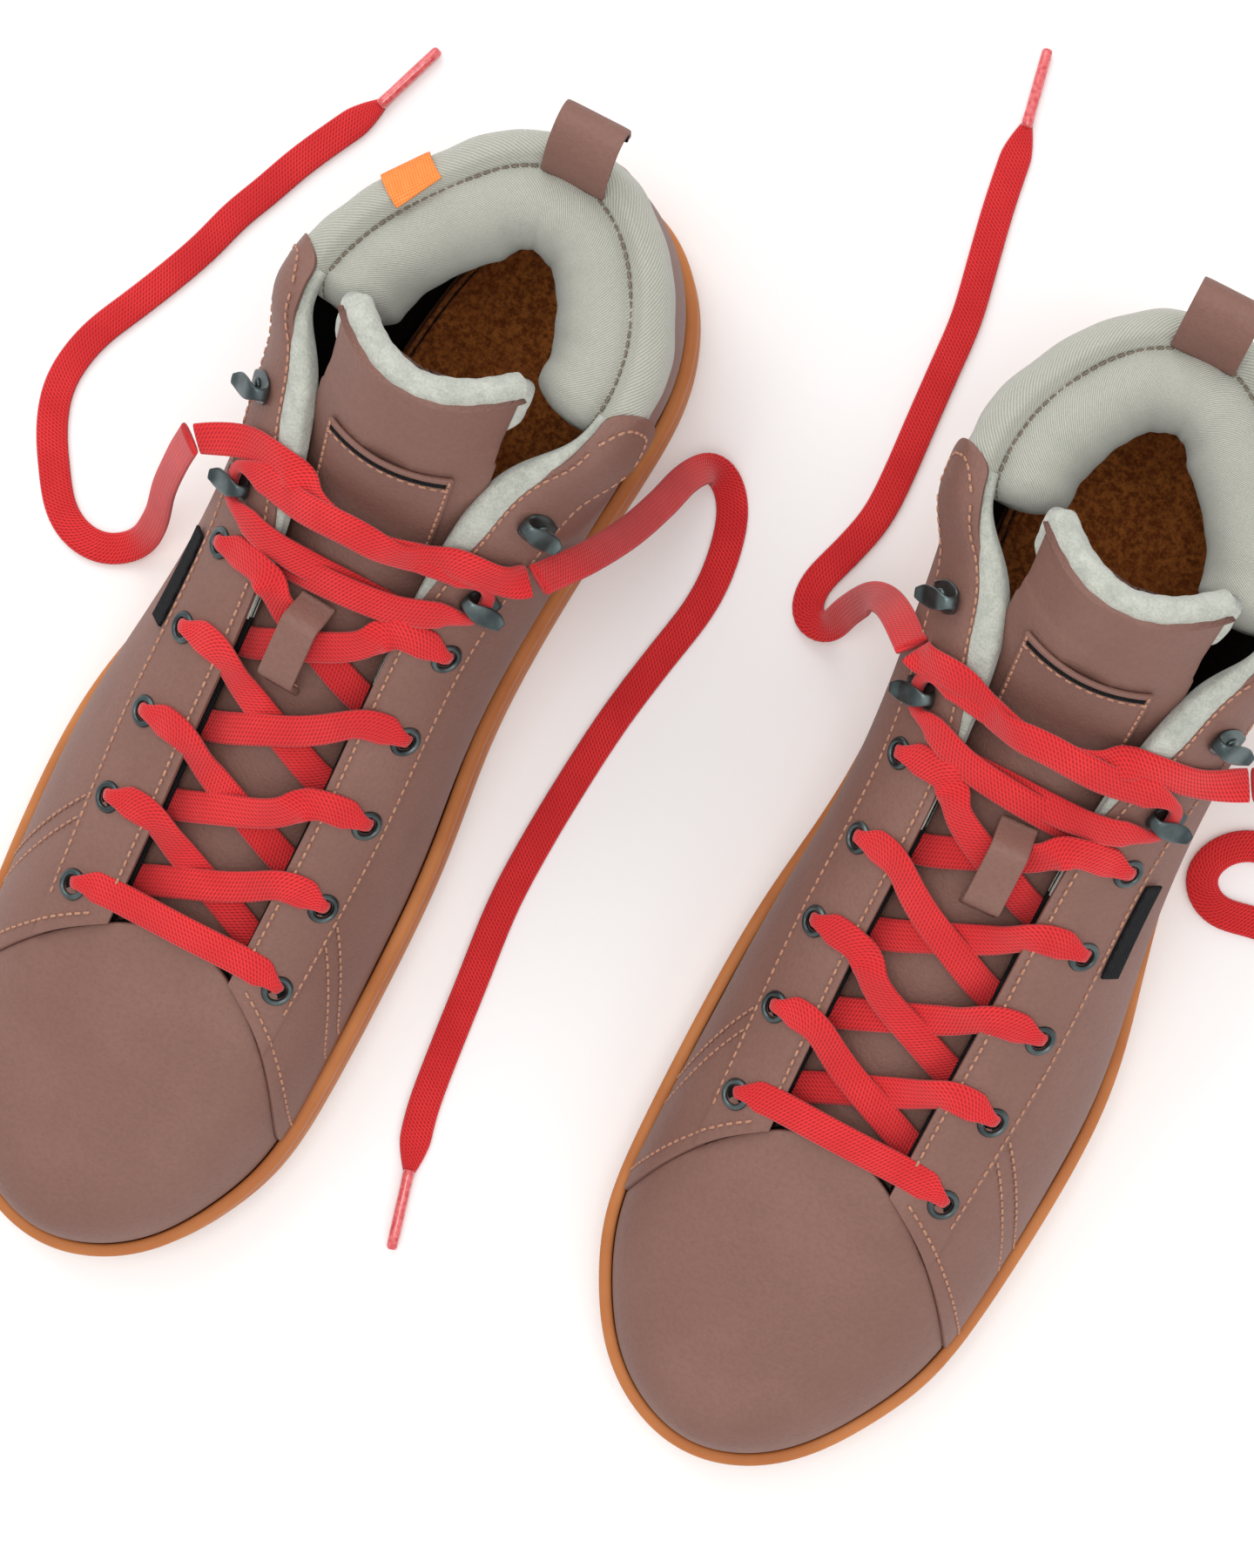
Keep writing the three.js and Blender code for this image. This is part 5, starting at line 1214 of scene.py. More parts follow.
# ---------------------------------------------------------------- lacing
# Stops of the threaded lace: place, the way its flat side faces, and its width; it is narrow where
# it is squeezed through an eyelet.
LACE_STOPS = np.array([
    (36.65, 48.46, 103.47, -0.72, 0.43, -0.55, 8), (32.67, 48.16, 108.13, -0.56, 0.5, -0.66, 8),
    (26.88, 47.21, 111.78, -0.37, 0.54, -0.76, 8), (18.25, 46.23, 111.81, 0.92, 0.09, -0.38, 8),
    (19.34, 44.81, 109.42, -0.51, 0.46, -0.72, 8), (15.06, 41.74, 109.59, -0.3, 0.78, -0.55, 8),
    (8.14, 41.03, 111.33, -0.09, 0.86, -0.5, 8), (1.64, 40.73, 111.4, 0.06, 0.87, -0.49, 8),
    (-4.63, 40.58, 109.75, 0.16, 0.85, -0.5, 8), (-12.88, 42.58, 108.59, 0.53, 0.45, -0.72, 8),
    (-16.63, 43.26, 105.34, 0.31, 0.48, -0.82, 8), (-21.11, 43.16, 107.44, 0.52, 0.46, -0.72, 8),
    (-22.66, 44.58, 109.43, 0.69, 0.43, -0.58, 8), (-27.3, 43.48, 104.43, 0.69, 0.43, -0.58, 3.2),
    (-29.41, 42.17, 100.91, 0.69, 0.43, -0.58, 3.2), (-29.2, 39.06, 98.83, 0.69, 0.43, -0.58, 3.2),
    (-28.34, 35.91, 97.51, 0.69, 0.43, -0.58, 3.2), (-25.72, 34.28, 99.41, 0.69, 0.43, -0.58, 3.2),
    (-20.72, 33.3, 103.28, 0.69, 0.43, -0.58, 8), (-19.72, 31.34, 100.81, 0.52, 0.46, -0.72, 8),
    (-15.85, 30.83, 102.04, 0.31, 0.48, -0.82, 8), (-14.23, 29.4, 100.57, 0.53, 0.45, -0.72, 8),
    (-8.48, 28.5, 98.83, 0.35, 0.49, -0.79, 8), (-3.61, 27.79, 100.43, 0.33, 0.5, -0.8, 8),
    (2.55, 27.78, 99.74, 0.12, 0.53, -0.84, 8), (8.68, 27.07, 98.79, -0.12, 0.52, -0.84, 8),
    (13.59, 27.8, 94.73, -0.34, 0.43, -0.83, 8), (17.1, 27.45, 92.53, -0.53, 0.38, -0.76, 8),
    (18.88, 27.79, 90.68, -0.32, 0.44, -0.84, 8), (24.28, 28.33, 88.17, -0.51, 0.4, -0.76, 6.4),
    (28.27, 27.7, 84.56, 0.04, 0.33, -0.94, 3), (32.31, 25.68, 88.59, 0.73, 0.13, -0.67, 3),
    (34.65, 24.51, 90.91, 0.99, -0.15, 0, 3), (32.67, 24.12, 92.86, 0.67, -0.33, 0.66, 4.4),
    (28.77, 24.82, 94.88, 0.51, -0.4, 0.76, 8), (21.13, 23.64, 98.55, 0.67, -0.33, 0.66, 8),
    (15.63, 21.99, 97.79, -0.93, -0.14, 0.33, 8), (17.94, 19.84, 95.66, 0.53, -0.38, 0.76, 8),
    (14.19, 18.16, 93.29, 0.3, -0.43, 0.85, 8), (10.36, 16.15, 91.84, 0.34, -0.43, 0.83, 8),
    (5.62, 14.04, 91.47, 0.12, -0.46, 0.88, 8), (1.05, 12.72, 88.97, -0.09, -0.46, 0.88, 8),
    (-3.62, 10.58, 86.81, -0.28, -0.44, 0.85, 8), (-7.91, 8.64, 84.06, -0.45, -0.41, 0.8, 8),
    (-10.57, 7.3, 81.88, -0.45, -0.41, 0.8, 8), (-12.03, 6.9, 80.42, -0.29, -0.37, 0.88, 8),
    (-16.72, 6.78, 78.17, -0.51, -0.33, 0.8, 6.4), (-20.02, 6.03, 75.2, 0.02, -0.23, 0.97, 3),
    (-24.17, 4.41, 79.29, 0.71, -0.06, 0.7, 3), (-26.57, 3.47, 81.66, 0.99, 0.15, 0.02, 3),
    (-24.64, 3.28, 83.69, 0.69, 0.27, -0.68, 4.4), (-21.17, 3.88, 85.18, 0.51, 0.33, -0.8, 8),
    (-14.04, 3.45, 88.67, 0.69, 0.27, -0.68, 8), (-13.76, 1.15, 89.57, 0.6, 0.28, -0.75, 8),
    (-10.67, -0.57, 85.86, 0.46, 0.34, -0.82, 8), (-7.81, -3.35, 86.4, 0.29, 0.39, -0.87, 8),
    (-3.42, -5.76, 83.33, 0.22, 0.41, -0.89, 8), (1.21, -8.1, 82.95, 0.1, 0.42, -0.9, 8),
    (6.17, -9.77, 80.53, -0.11, 0.42, -0.9, 8), (11.26, -12.16, 78.67, -0.3, 0.4, -0.87, 8),
    (14.38, -13.54, 74.45, -0.24, 0.4, -0.89, 8), (17.46, -15, 72.39, -0.47, 0.36, -0.81, 8),
    (18.87, -15.66, 71.25, -0.26, 0.36, -0.89, 8), (24.89, -15.63, 68.91, -0.42, 0.33, -0.85, 6.4),
    (29.62, -16.07, 65.94, 0.19, 0.25, -0.95, 3), (32.96, -17.78, 70.68, 0.83, 0.06, -0.56, 3),
    (34.9, -18.77, 73.42, 0.98, -0.16, 0.16, 3), (32.65, -18.98, 75.07, 0.55, -0.28, 0.78, 4.4),
    (28.57, -18.53, 76.37, 0.42, -0.33, 0.85, 8), (20.55, -19.05, 79.61, 0.55, -0.28, 0.78, 8),
    (19.54, -21.45, 76.38, 0.37, -0.36, 0.86, 8), (17.26, -22.8, 77.18, 0.47, -0.36, 0.81, 8),
    (13.54, -24.45, 71.51, 0.24, -0.4, 0.89, 8), (9.12, -26.55, 71.59, 0.09, -0.42, 0.9, 8),
    (5.21, -28.58, 71.21, 0.09, -0.42, 0.9, 8), (0.88, -29.84, 68.87, -0.07, -0.34, 0.94, 8),
    (-3.65, -32.01, 67.31, -0.22, -0.33, 0.92, 8), (-7.68, -34.03, 65.54, -0.29, -0.32, 0.9, 8),
    (-10.43, -35.35, 63.98, -0.36, -0.3, 0.88, 8), (-12.02, -35.95, 63.5, -0.25, -0.33, 0.91, 8),
    (-16.83, -36.98, 61.34, -0.42, -0.3, 0.86, 6.4), (-20.25, -38.32, 58.84, 0.15, -0.11, 0.98, 3),
    (-23.72, -39.86, 63.55, 0.78, 0.1, 0.61, 3), (-25.73, -40.75, 66.27, 0.96, 0.25, -0.12, 3),
    (-23.59, -40.49, 68.06, 0.57, 0.25, -0.78, 4.4), (-20.51, -39.59, 68.9, 0.42, 0.3, -0.86, 8),
    (-13.68, -38.93, 72.01, 0.57, 0.25, -0.78, 8), (-12.62, -41.13, 71.89, 0.36, 0.3, -0.88, 8),
    (-10, -42.47, 69.24, 0.36, 0.3, -0.88, 8), (-7.1, -44.81, 66.03, 0.22, 0.33, -0.92, 8),
    (-2.89, -46.88, 66.22, 0.17, 0.34, -0.92, 8), (1.72, -48.92, 65.94, 0.05, 0.34, -0.94, 8),
    (6.33, -50.41, 63.76, -0.09, 0.34, -0.93, 8), (11.22, -52.54, 62.43, -0.24, 0.33, -0.91, 8),
    (14.49, -53.78, 58.76, -0.19, 0.33, -0.93, 8), (17.32, -55.08, 57.33, -0.3, 0.31, -0.9, 8),
    (19.04, -55.67, 56.53, -0.19, 0.31, -0.93, 8), (24.36, -58.4, 54.25, -0.3, 0.29, -0.91, 6.4),
    (28.55, -61.22, 51.73, 0.27, -0.07, -0.96, 3), (31.03, -62.79, 57.02, 0.8, -0.36, -0.48, 3),
    (32.47, -63.7, 60.08, 0.85, -0.44, 0.28, 3), (30.27, -62.72, 61.52, 0.41, -0.26, 0.87, 4.4),
    (26.99, -60.94, 62.26, 0.3, -0.29, 0.91, 8), (21.79, -61.47, 63.39, 0.18, -0.31, 0.93, 8),
    (15.71, -61.42, 61.64, 0.38, -0.31, 0.87, 8), (8.66, -61.41, 64.86, 0.07, -0.34, 0.94, 8),
    (3.81, -61.37, 65.16, -0.05, -0.34, 0.94, 8), (-0.84, -61.33, 65.01, -0.07, -0.34, 0.94, 8),
    (-7.72, -61.23, 63.69, -0.29, -0.32, 0.9, 8), (-13.95, -61.17, 63.74, -0.17, -0.32, 0.93, 8),
    (-19.17, -60.5, 62.55, -0.33, -0.29, 0.9, 8), (-21.99, -62.29, 61.89, -0.47, -0.25, 0.85, 4.4),
    (-24.03, -63.39, 60.33, -0.86, -0.46, 0.23, 3), (-22.4, -62.51, 57.36, -0.75, -0.4, -0.53, 3),
    (-19.59, -60.99, 52.22, -0.2, -0.11, -0.97, 3), (-16.3, -57.97, 54.63, 0.33, 0.29, -0.9, 6.4),
    (-11.73, -55.15, 56.83, 0.19, 0.32, -0.93, 8), (-10.04, -54.64, 57.42, 0.29, 0.32, -0.9, 8),
    (-7.47, -53.35, 58.7, 0.29, 0.32, -0.9, 8), (-3.4, -51.45, 60.34, 0.17, 0.34, -0.92, 8),
    (0.97, -49.37, 61.67, 0.07, 0.34, -0.94, 8), (5.26, -47.96, 63.91, -0.09, 0.34, -0.93, 8),
    (9.03, -46.02, 64.29, -0.07, 0.34, -0.94, 8), (13.47, -44.07, 64.05, -0.24, 0.33, -0.91, 8),
    (16.83, -42.55, 69.24, -0.38, 0.31, -0.87, 8), (19.4, -41.26, 68.94, -0.38, 0.31, -0.87, 8),
    (20.35, -39.07, 71.88, -0.49, 0.27, -0.83, 8), (28, -39.8, 68.78, -0.36, 0.3, -0.88, 8),
    (31.76, -40.73, 67.81, -0.49, 0.27, -0.83, 4.4), (34.07, -40.98, 66.25, -0.94, 0.26, -0.21, 3),
    (32.36, -40.04, 63.34, -0.84, 0.1, 0.53, 3), (29.41, -38.41, 58.32, -0.25, -0.12, 0.96, 3),
    (24.79, -37.15, 61.03, 0.36, -0.3, 0.88, 6.4), (18.96, -36.11, 63.31, 0.23, -0.33, 0.92, 8),
    (17.36, -35.48, 64.28, 0.38, -0.31, 0.87, 8), (14.45, -34.11, 65.78, 0.24, -0.33, 0.91, 8),
    (11.04, -32.77, 69.7, 0.24, -0.33, 0.91, 8), (6.09, -30.54, 71.09, 0.09, -0.34, 0.93, 8),
    (1.37, -29.39, 73.12, -0.07, -0.42, 0.9, 8), (-3.46, -27.21, 73.42, -0.22, -0.41, 0.89, 8),
    (-7.87, -24.99, 78.5, -0.29, -0.39, 0.87, 8), (-10.38, -22.49, 76.76, -0.35, -0.38, 0.85, 8),
    (-8.56, -20.11, 77.61, 0.96, -0.09, 0.26, 8), (-14.14, -18.57, 79.7, -0.65, -0.26, 0.72, 8),
    (-21.3, -18.11, 76.41, -0.48, -0.31, 0.82, 8), (-24.67, -18.57, 75.24, -0.65, -0.26, 0.72, 4.4),
    (-26.72, -18.35, 73.34, -0.99, -0.14, 0.05, 3), (-24.46, -17.44, 70.83, -0.75, 0.07, -0.65, 3),
    (-20.55, -15.86, 66.49, -0.08, 0.23, -0.97, 3), (-17.1, -15.34, 69.19, 0.48, 0.31, -0.82, 6.4),
    (-12.22, -15.29, 71.35, 0.28, 0.35, -0.89, 8), (-10.81, -14.7, 72.16, 0.46, 0.34, -0.82, 8),
    (-7.99, -13.36, 74.01, 0.35, 0.38, -0.85, 8), (-3.81, -11.29, 76.4, 0.22, 0.41, -0.89, 8),
    (0.67, -9, 78.27, 0.1, 0.42, -0.9, 8), (5.15, -7.51, 80.82, -0.11, 0.42, -0.9, 8),
    (8.99, -5.38, 81.36, -0.09, 0.42, -0.9, 8), (13.65, -3.18, 81.02, -0.3, 0.4, -0.87, 8),
    (17.15, -1.45, 85.89, -0.47, 0.36, -0.81, 8), (19.77, -0.03, 85.37, -0.47, 0.36, -0.81, 8),
    (20.47, 2.41, 88.73, -0.61, 0.29, -0.74, 8), (28.35, 3.4, 85.28, -0.47, 0.34, -0.81, 8),
    (32.41, 2.91, 83.65, -0.61, 0.29, -0.74, 4.4), (34.54, 3.23, 81.86, -0.99, 0.13, -0.09, 3),
    (32.39, 4.22, 79.29, -0.78, -0.1, 0.61, 3), (28.67, 5.95, 74.84, -0.12, -0.28, 0.95, 3),
    (24.24, 6.41, 78.11, 0.47, -0.34, 0.81, 6.4), (18.47, 6.05, 80.55, 0.3, -0.38, 0.87, 8),
    (17.03, 6.69, 82.29, 0.46, -0.38, 0.8, 8), (14.06, 8.16, 84.57, 0.3, -0.43, 0.85, 8),
    (10.97, 9.51, 89.11, 0.34, -0.43, 0.83, 8), (5.71, 11.93, 91.26, 0.12, -0.46, 0.88, 8),
    (0.53, 13.6, 93.69, -0.12, -0.46, 0.88, 8), (-4.36, 16.02, 93.89, -0.28, -0.44, 0.85, 8),
    (-9.28, 18.6, 97.09, -0.45, -0.41, 0.8, 8), (-11.51, 21.41, 95.63, -0.53, -0.37, 0.76, 8),
    (-9.14, 23.83, 98.11, 0.95, -0.12, 0.3, 8), (-14.67, 25.6, 98.53, -0.7, -0.35, 0.63, 8),
    (-21.81, 25.71, 94.83, -0.51, -0.41, 0.76, 8), (-25.31, 24.78, 92.93, -0.7, -0.35, 0.63, 4.4),
    (-27.13, 24.91, 90.81, -0.97, -0.22, -0.08, 3), (-24.69, 26.13, 88.62, -0.68, 0.03, -0.74, 3),
    (-20.47, 28.23, 84.83, 0.01, 0.27, -0.96, 3), (-17.32, 29.3, 88.16, 0.51, 0.41, -0.76, 6.4),
    (-12.82, 29.62, 90.5, 0.28, 0.44, -0.86, 8), (-10.94, 28.88, 92.33, 0.5, 0.46, -0.73, 8),
    (-7.7, 29.05, 94.68, 0.5, 0.46, -0.73, 8), (-2.51, 29.22, 97.02, 0.33, 0.5, -0.8, 8),
    (3.16, 29.44, 98.14, 0.12, 0.53, -0.84, 8), (8.65, 28.9, 98.98, -0.12, 0.52, -0.84, 8),
    (14.24, 29.23, 97.15, -0.33, 0.5, -0.8, 8), (19.69, 29.61, 99.6, -0.51, 0.46, -0.73, 8),
    (22.84, 29.64, 102.12, -0.36, 0.5, -0.79, 8), (26.94, 29.96, 100.8, -0.61, 0.46, -0.65, 8),
    (27.69, 31.65, 102.77, -0.7, 0.41, -0.58, 8), (32.86, 33.43, 99.21, -0.7, 0.41, -0.58, 3.2),
    (35.54, 35.49, 97.48, -0.7, 0.41, -0.58, 3.2), (36.31, 38.71, 98.85, -0.7, 0.41, -0.58, 3.2),
    (36.39, 41.76, 100.93, -0.7, 0.41, -0.58, 3.2), (34.12, 42.65, 104.29, -0.7, 0.41, -0.58, 3.2),
    (29.23, 42.96, 109, -0.7, 0.41, -0.58, 8), (28.03, 41.59, 107.33, -0.61, 0.46, -0.65, 8),
    (23.45, 41.64, 105.89, -0.37, 0.5, -0.78, 8), (19.75, 39.8, 110.29, -0.4, 0.48, -0.78, 8),
    (12.55, 39.98, 112.21, -0.26, 0.5, -0.82, 8), (5.7, 40.18, 113.8, -0.11, 0.52, -0.85, 8),
    (-1.84, 40.51, 113.48, 0.13, 0.52, -0.85, 8), (-8.58, 38.46, 109.13, 0.27, 0.81, -0.52, 8),
    (-12.45, 43.64, 107.31, 0.53, 0.45, -0.72, 8), (-16.63, 44, 106.55, 0.65, 0.41, -0.64, 8),
    (-20.07, 45.59, 112.07, 0.27, 0.52, -0.81, 8), (-26.46, 45.45, 108.19, 0.5, 0.51, -0.7, 8),
    (-30.89, 45.23, 103.3, 0.68, 0.46, -0.58, 8),
])


EASE_WEIGHTS, EASE_ROUNDS, THREADED_STEP = np.array([1, 2, 3, 2, 1]) / 9, 11, 1.5
SQUEEZED_WIDTH, INTO_FREE_END = 3.0, 1.5


def ease(rows):
    """Each row becomes the weighted mean of five neighbours; the first and last rows are repeated."""
    padded = np.concatenate([rows[:1], rows[:1], rows, rows[-1:], rows[-1:]])
    return np.stack([np.convolve(column, EASE_WEIGHTS, "valid") for column in padded.T], -1)


def lace(foot):
    """The flat braid: an oblong section carried along the Catmull-Rom curve through its stops.

    Where it is wide, the path is eased EASE_ROUNDS times by a weighted mean of five neighbours; where
    it is narrow, in the eyelets, once.
    """
    stops = LACE_STOPS
    for name in (foot + "_outer", foot + "_inner"):
        # The two ends run on to where the free ends of the same boot begin, and a little into them.
        side, x, y = FEET[foot]
        route = (np.array(FREE_ENDS[name][:2], float) - [x, y, 0]) * [side, 1, 1]
        way = unit(route[1] - route[0])
        start = route[0] + way * INTO_FREE_END
        first = np.linalg.norm(LACE_STOPS[0, :3] - start) < np.linalg.norm(LACE_STOPS[-1, :3] - start)
        near = stops[0] if first else stops[-1]
        facing = unit(np.cross(np.cross(way, [0, 0, 1.0]), way))
        facing = facing * (1 if facing @ near[3:6] > 0 else -1)
        added = np.array([[*place, *facing, LACE_WIDTH] for place in (route[0], start)])
        stops = np.concatenate([added[::-1], stops]) if first else np.concatenate([stops, added])
    fine = refined(stops, 5)
    path, rest = evenly(fine[:, :3], THREADED_STEP, fine[:, 3:])
    flat, width = unit(rest[:, :3]), np.clip(rest[:, 3], SQUEEZED_WIDTH, LACE_WIDTH)
    calm = path
    for _ in range(EASE_ROUNDS):
        calm = ease(calm)
    share = smooth(3.4, 6.2, width)[:, None]
    path, flat = ease(path * (1 - share) + calm * share), unit(ease(ease(flat)))
    thick = LACE_THICKNESS / 2 * (1 + 0.55 * smooth(6.5, SQUEEZED_WIDTH, width))
    rings = carried(path, flat, width / 2, thick, section(16, 3.0))
    shape, node = Shape().tube(rings), foot + "_lace"
    build(foot + "_threaded_lace", shape, LACE_BRAID, "lace", foot, replaces=[node])


# ---------------------------------------------------------------- loop, tag and tab
# The loop seen from the side, backwards and up from its sewn base, in shares of LOOP_SIZE.
LOOP_STOPS = np.array([
    (-0.02, -0.12), (0.06, 0.14), (0.22, 0.42), (0.42, 0.6), (0.58, 0.62), (0.67, 0.52), (0.67, 0.42),
    (0.65, 0.3),
])
LOOP_BASE, LOOP_SIZE = np.array([-6.2, 132.5, 132.9]), 20
BACKING_START = 10  # the cloth starts this many samples up, clear of the collar when the loop swings


def pull_loop(foot):
    """A leather strip carried over the loop's curve, with a webbing strip carried inside it."""
    steps = refined(LOOP_STOPS * LOOP_SIZE, 8)
    path = LOOP_BASE + np.stack([0 * steps[:, 0], steps[:, 0], steps[:, 1]], 1)
    middle = LOOP_BASE + [0, 7.7, 5]
    flat = unit((path - middle) * [0, 1, 1])
    body = foot + "_loop"
    outer = carried(path + flat * 0.25, flat, 7.9, 0.6, section(24, 7))
    shape, node = Shape().tube(outer), foot + "_pull_loop"
    build(foot + "_loop_leather", shape, LEATHER_SKIN, "leather", foot, body, [node])
    shown = slice(BACKING_START, None)
    inner = carried((path - flat * 0.75)[shown], flat[shown], 7.8, 0.45, section(24, 7))
    build(foot + "_loop_backing", Shape().tube(inner), BLACK_CLOTH, "webbing", foot, body)


TAG_SHARE, TAB_RIB = 0.625, 2.4


def side_tag(foot):
    """A woven tag: an oblong carried forwards along the lower edge of the outer eyestay."""
    s = np.linspace(5.98, 6.47, 24)
    v = TAG_SHARE + 0 * s
    rings = carried(under(s, v, -1.0 + 0 * s), shaft_normal(s, v), 3.2, 0.45, section(16, 7))
    node = foot + "_side_tag"
    build(node + "_cloth", Shape().tube(rings), TAG_CLOTH, "webbing", foot, replaces=[node])


def collar_tab():
    """The right boot's small tab: an oblong carried up the outer band of the collar to its groove."""
    v = np.linspace(0.85, 0.995, 18)
    s = TAB_RIB + 0 * v
    path = under(s, v, -4.2 + 2.6 * smooth(0.87, 1, v))
    rings = carried(path, shaft_normal(s, v), 6.2, 0.4, section(16, 7))
    node = "right_collar_tab"
    build(node + "_cloth", Shape().tube(rings), ORANGE_CLOTH, "tab", "right", replaces=[node])


# ---------------------------------------------------------------- stitching
STITCH_PITCH, STITCH_LENGTH, STITCH_RADIUS = 2.5, 1.8, 0.38
STITCH_SIDES = 6
# One bead: where its rings lie along it and how thick each is, in shares of length and radius.
BEAD_AT, BEAD_SIZE = np.array([-0.5, -0.34, 0.34, 0.5]), np.array([0.35, 1, 1, 0.35])
BEAD_POINTS = len(BEAD_AT) * STITCH_SIDES
BEAD_CAPS = [[0, 5, 4, 3], [3, 2, 1, 0], [18, 19, 20, 21], [21, 22, 23, 18]]


def stitches(shape, path, normals, pitch=STITCH_PITCH):
    """Short rounded stitches laid end to end along a path, each a six-sided bead drawn out along it."""
    path, normals = evenly(path, pitch, normals)
    ahead, up = unit(np.gradient(path, axis=0)), unit(normals)
    side = np.cross(ahead, up)
    turn = np.arange(STITCH_SIDES) * math.pi / 3
    along, thick = BEAD_AT * STITCH_LENGTH, BEAD_SIZE * STITCH_RADIUS
    ring = lambda k: (
        path[:, None] + ahead[:, None] * along[k] + side[:, None] * (np.cos(turn) * thick[k])[:, None]
        + up[:, None] * (np.sin(turn) * thick[k] * 0.8 + 0.08)[:, None])
    beads = np.stack([ring(k) for k in range(len(BEAD_AT))], 1)
    wall = strip_faces(len(BEAD_AT), STITCH_SIDES, True)
    faces = np.concatenate([wall, BEAD_CAPS])
    faces = faces if signed_volume(beads[0].reshape(-1, 3), wall) > 0 else faces[:, ::-1]
    every = (faces[None] + BEAD_POINTS * np.arange(len(path))[:, None, None]).reshape(-1, 4)
    shape.add(beads.reshape(-1, 3), every)


def shaft_row(shape, s, v, lift):
    """A row of stitches at a height above the shaft, through ribs s and shares v."""
    stitches(shape, under(s, v, -lift), shaft_normal(s, v))


def upper_stitching(foot):
    """Rows round the eyestay, inside its lacing edge, along the wing, round the tip and at the heel."""
    shape = Shape()
    for side in (1, -1):
        s = side * np.linspace(4.1, 7.72, 160)
        shaft_row(shape, s, STAY_LOW + 0.018 + 0 * s, stay_raise(s) + 0.05)
        shaft_row(shape, s, stay_high(s) - 0.03, stay_raise(s) - 0.2)
        v = np.linspace(0.06, 0.9, 120)
        lift = quarter_raise(7.9) + 0.9 * smooth(0.66, 0.7, v) + 0.05
        shaft_row(shape, side * (7.9 - 0.02 * v), v, lift)
        for shift in (0.28, 0.37):
            v = np.linspace(0.12, 0.66, 70)
            rib = 7.9 - shift - 0.55 * (v - 0.12) ** 1.5
            shaft_row(shape, side * rib, v, quarter_raise(7.55) + 0.02)
        w = np.linspace(0.02, 0.98, 40)
        tip = side * (STAY_TIP + 0.16 + 0.3 * (2 * w - 1) ** 4)
        v = STAY_LOW + 0.02 + (stay_high(tip) - STAY_LOW - 0.05) * w
        shaft_row(shape, tip, v, stay_raise(tip) + 0.02)
        v = np.linspace(0.05, 0.66, 60)
        shaft_row(shape, side * (0.5 - 0.2 * v), v, 0.92 + 0 * v)
    build(foot + "_upper_stitching", shape, THREAD, "leather", foot, merge=0)


def tongue_stitching(foot):
    """Rows round the patch, doubled at its lower edge, and one across the foot of the keeper."""
    shape = Shape()

    def row(r, f, height):
        stitches(shape, on_tongue(r, f, height + 0 * r * f), tongue_normal(r + 0 * f, f + 0 * r))

    f = np.linspace(0.2, 0.8, 60)
    for r in (5.8, 5.87, 6.78):
        row(r + 0 * f, f, 1.75)
    r = np.linspace(5.85, 6.88, 60)
    for f in (0.19, 0.81):
        row(r, f + 0 * r, 1.75)
    f = np.linspace(0.48, 0.62, 20)
    row(4.02 + 0 * f, f, 3.4)
    build(foot + "_tongue_stitching", shape, THREAD, "leather", foot, merge=0)


def collar_stitching(foot):
    """Close stitches along the groove of the collar."""
    groove = collar_rings()[6:-6, GROOVE_COLUMN]
    up = np.broadcast_to([0, 0, 1.0], groove.shape)
    shape = Shape()
    stitches(shape, groove + [0, 0, 0.1], up, 2.2)
    build(foot + "_collar_stitching", shape, GROOVE_THREAD, "felt", foot, merge=0)


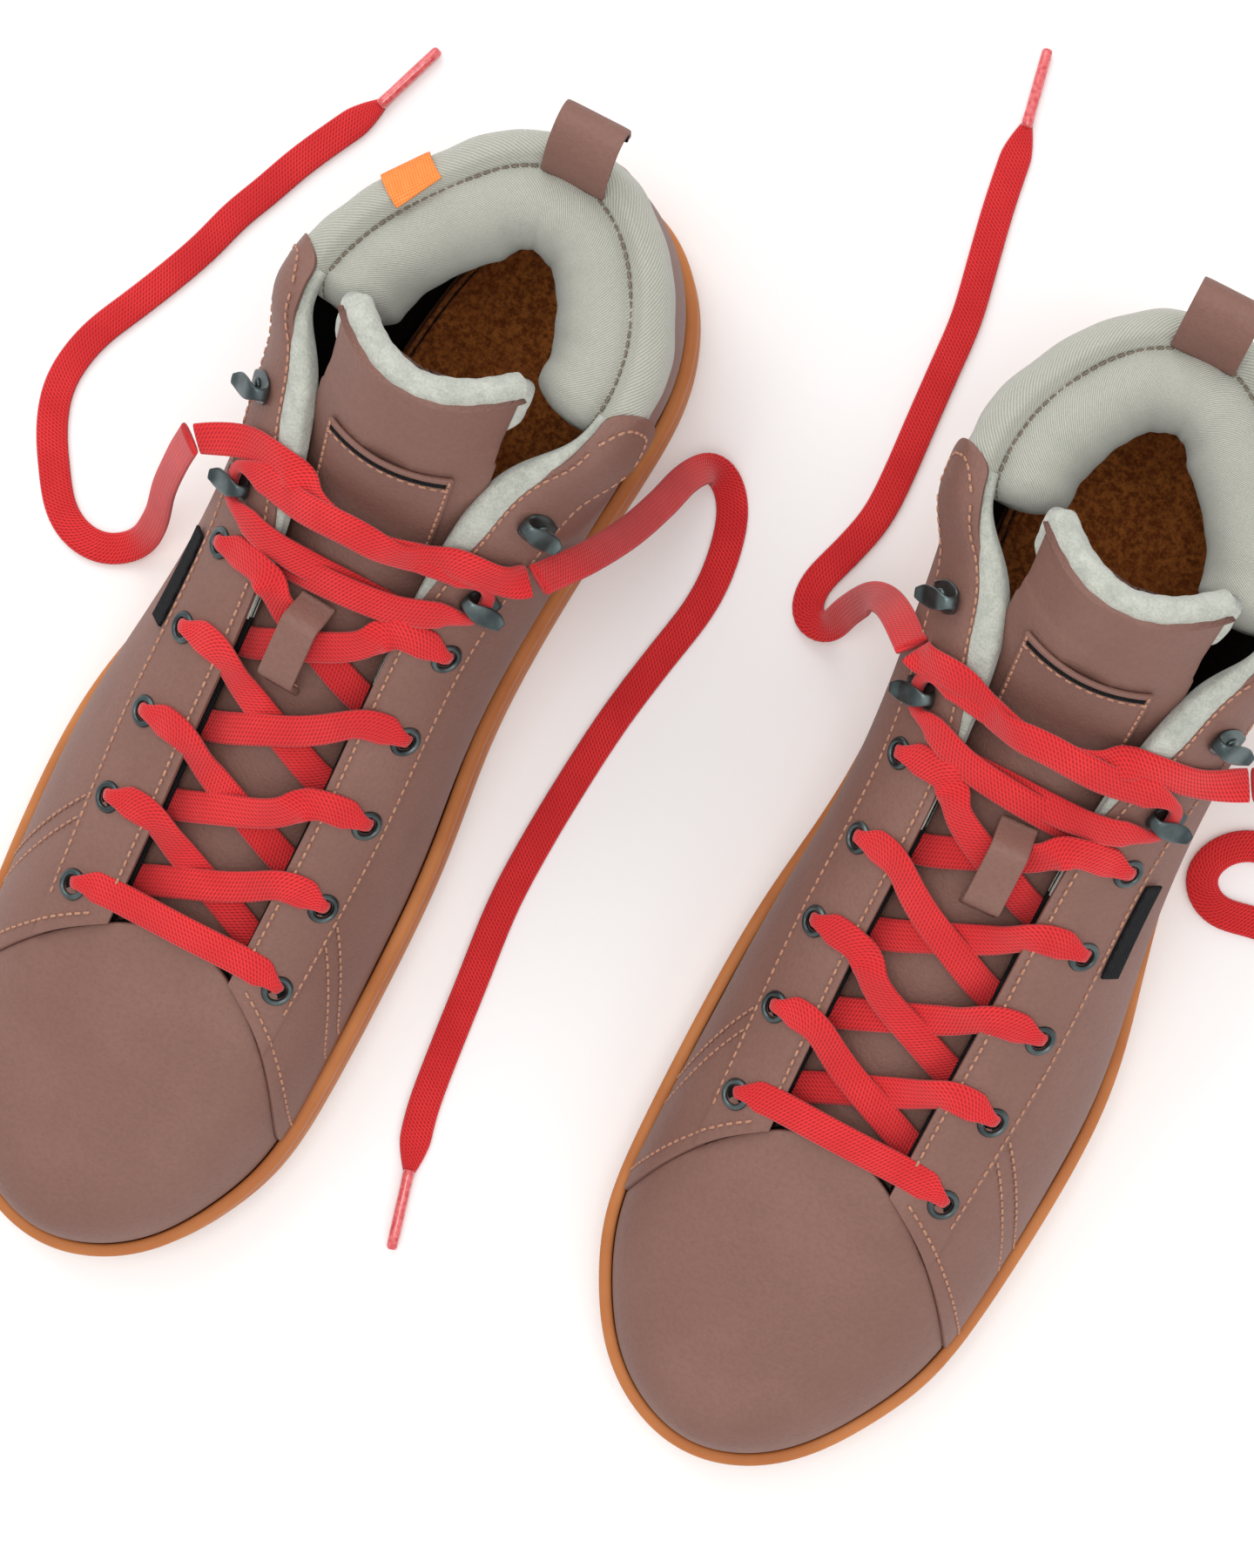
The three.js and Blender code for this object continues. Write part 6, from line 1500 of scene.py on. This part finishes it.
# ---------------------------------------------------------------- the pair
for foot in FEET:
    outsole(foot)
    footbed(foot)
    vamp_piece(foot)
    heel_strip(foot)
    for side, name in ((1, "outer"), (-1, "inner")):
        quarter(foot, side, name)
        eyestay(foot, side, name)
        facing_felt(foot, side, name)
        eyelets(foot, side, name)
        hooks(foot, side, name)
    lining(foot)
    collar(foot)
    tongue(foot)
    tongue_fleece(foot)
    patch(foot)
    keeper(foot)
    lace(foot)
    pull_loop(foot)
    side_tag(foot)
    upper_stitching(foot)
    tongue_stitching(foot)
    collar_stitching(foot)
    for node in ("insole_board", "heel_counter"):
        kept = bpy.data.objects[f"{foot}_{node}"]
        kept.data.materials.clear()
        kept.data.materials.append(BOARD)
collar_tab()


# ---------------------------------------------------------------- floor and light
FLOOR_HALF, FLOOR_LINES, FLOOR_DROP = 7, 9, 0.0002


def make_floor():
    """A wide plate, just below the soles, whose edge lies far outside the view."""
    lines = np.linspace(-FLOOR_HALF, FLOOR_HALF, FLOOR_LINES)
    x, y = np.meshgrid(lines, lines, indexing="ij")
    points = np.stack([x, y, 0 * x - FLOOR_DROP], -1).reshape(-1, 3)
    mesh = bpy.data.meshes.new("floor")
    mesh.from_pydata(points.tolist(), [], strip_faces(FLOOR_LINES, FLOOR_LINES)[:, ::-1].tolist())
    mesh.materials.append(pale_floor())
    floor = bpy.data.objects.new("floor", mesh)
    bpy.context.scene.collection.objects.link(floor)


def area_light(name, at, size, power):
    """A white square light, facing the middle of the pair; its size is in metres, its power in watts."""
    data = bpy.data.lights.new(name, "AREA")
    data.shape, data.size, data.energy = "SQUARE", size, power
    light = bpy.data.objects.new(name, data)
    back = unit(np.array(at, float))
    right = unit(np.cross([0.3, 1.0, 0.1], back))
    turn = np.eye(4)
    turn[:3, 0], turn[:3, 1], turn[:3, 2], turn[:3, 3] = right, np.cross(back, right), back, at
    light.matrix_world = Matrix(turn.tolist())
    bpy.context.scene.collection.objects.link(light)


make_floor()
area_light("window", (-1.3, 1.3, 1.7), 1.9, 22)
area_light("fill", (1.5, -0.6, 1.6), 1.8, 8)
area_light("overhead", (0.05, -0.1, 1.9), 0.9, 12)
world = bpy.data.worlds.new("studio")
bpy.context.scene.world = world
world.use_nodes = True
sky = world.node_tree.nodes["Background"].inputs
sky["Color"].default_value, sky["Strength"].default_value = (1.0, 1.0, 1.0, 1.0), 0.8
bpy.context.scene.view_settings.view_transform = "Standard"
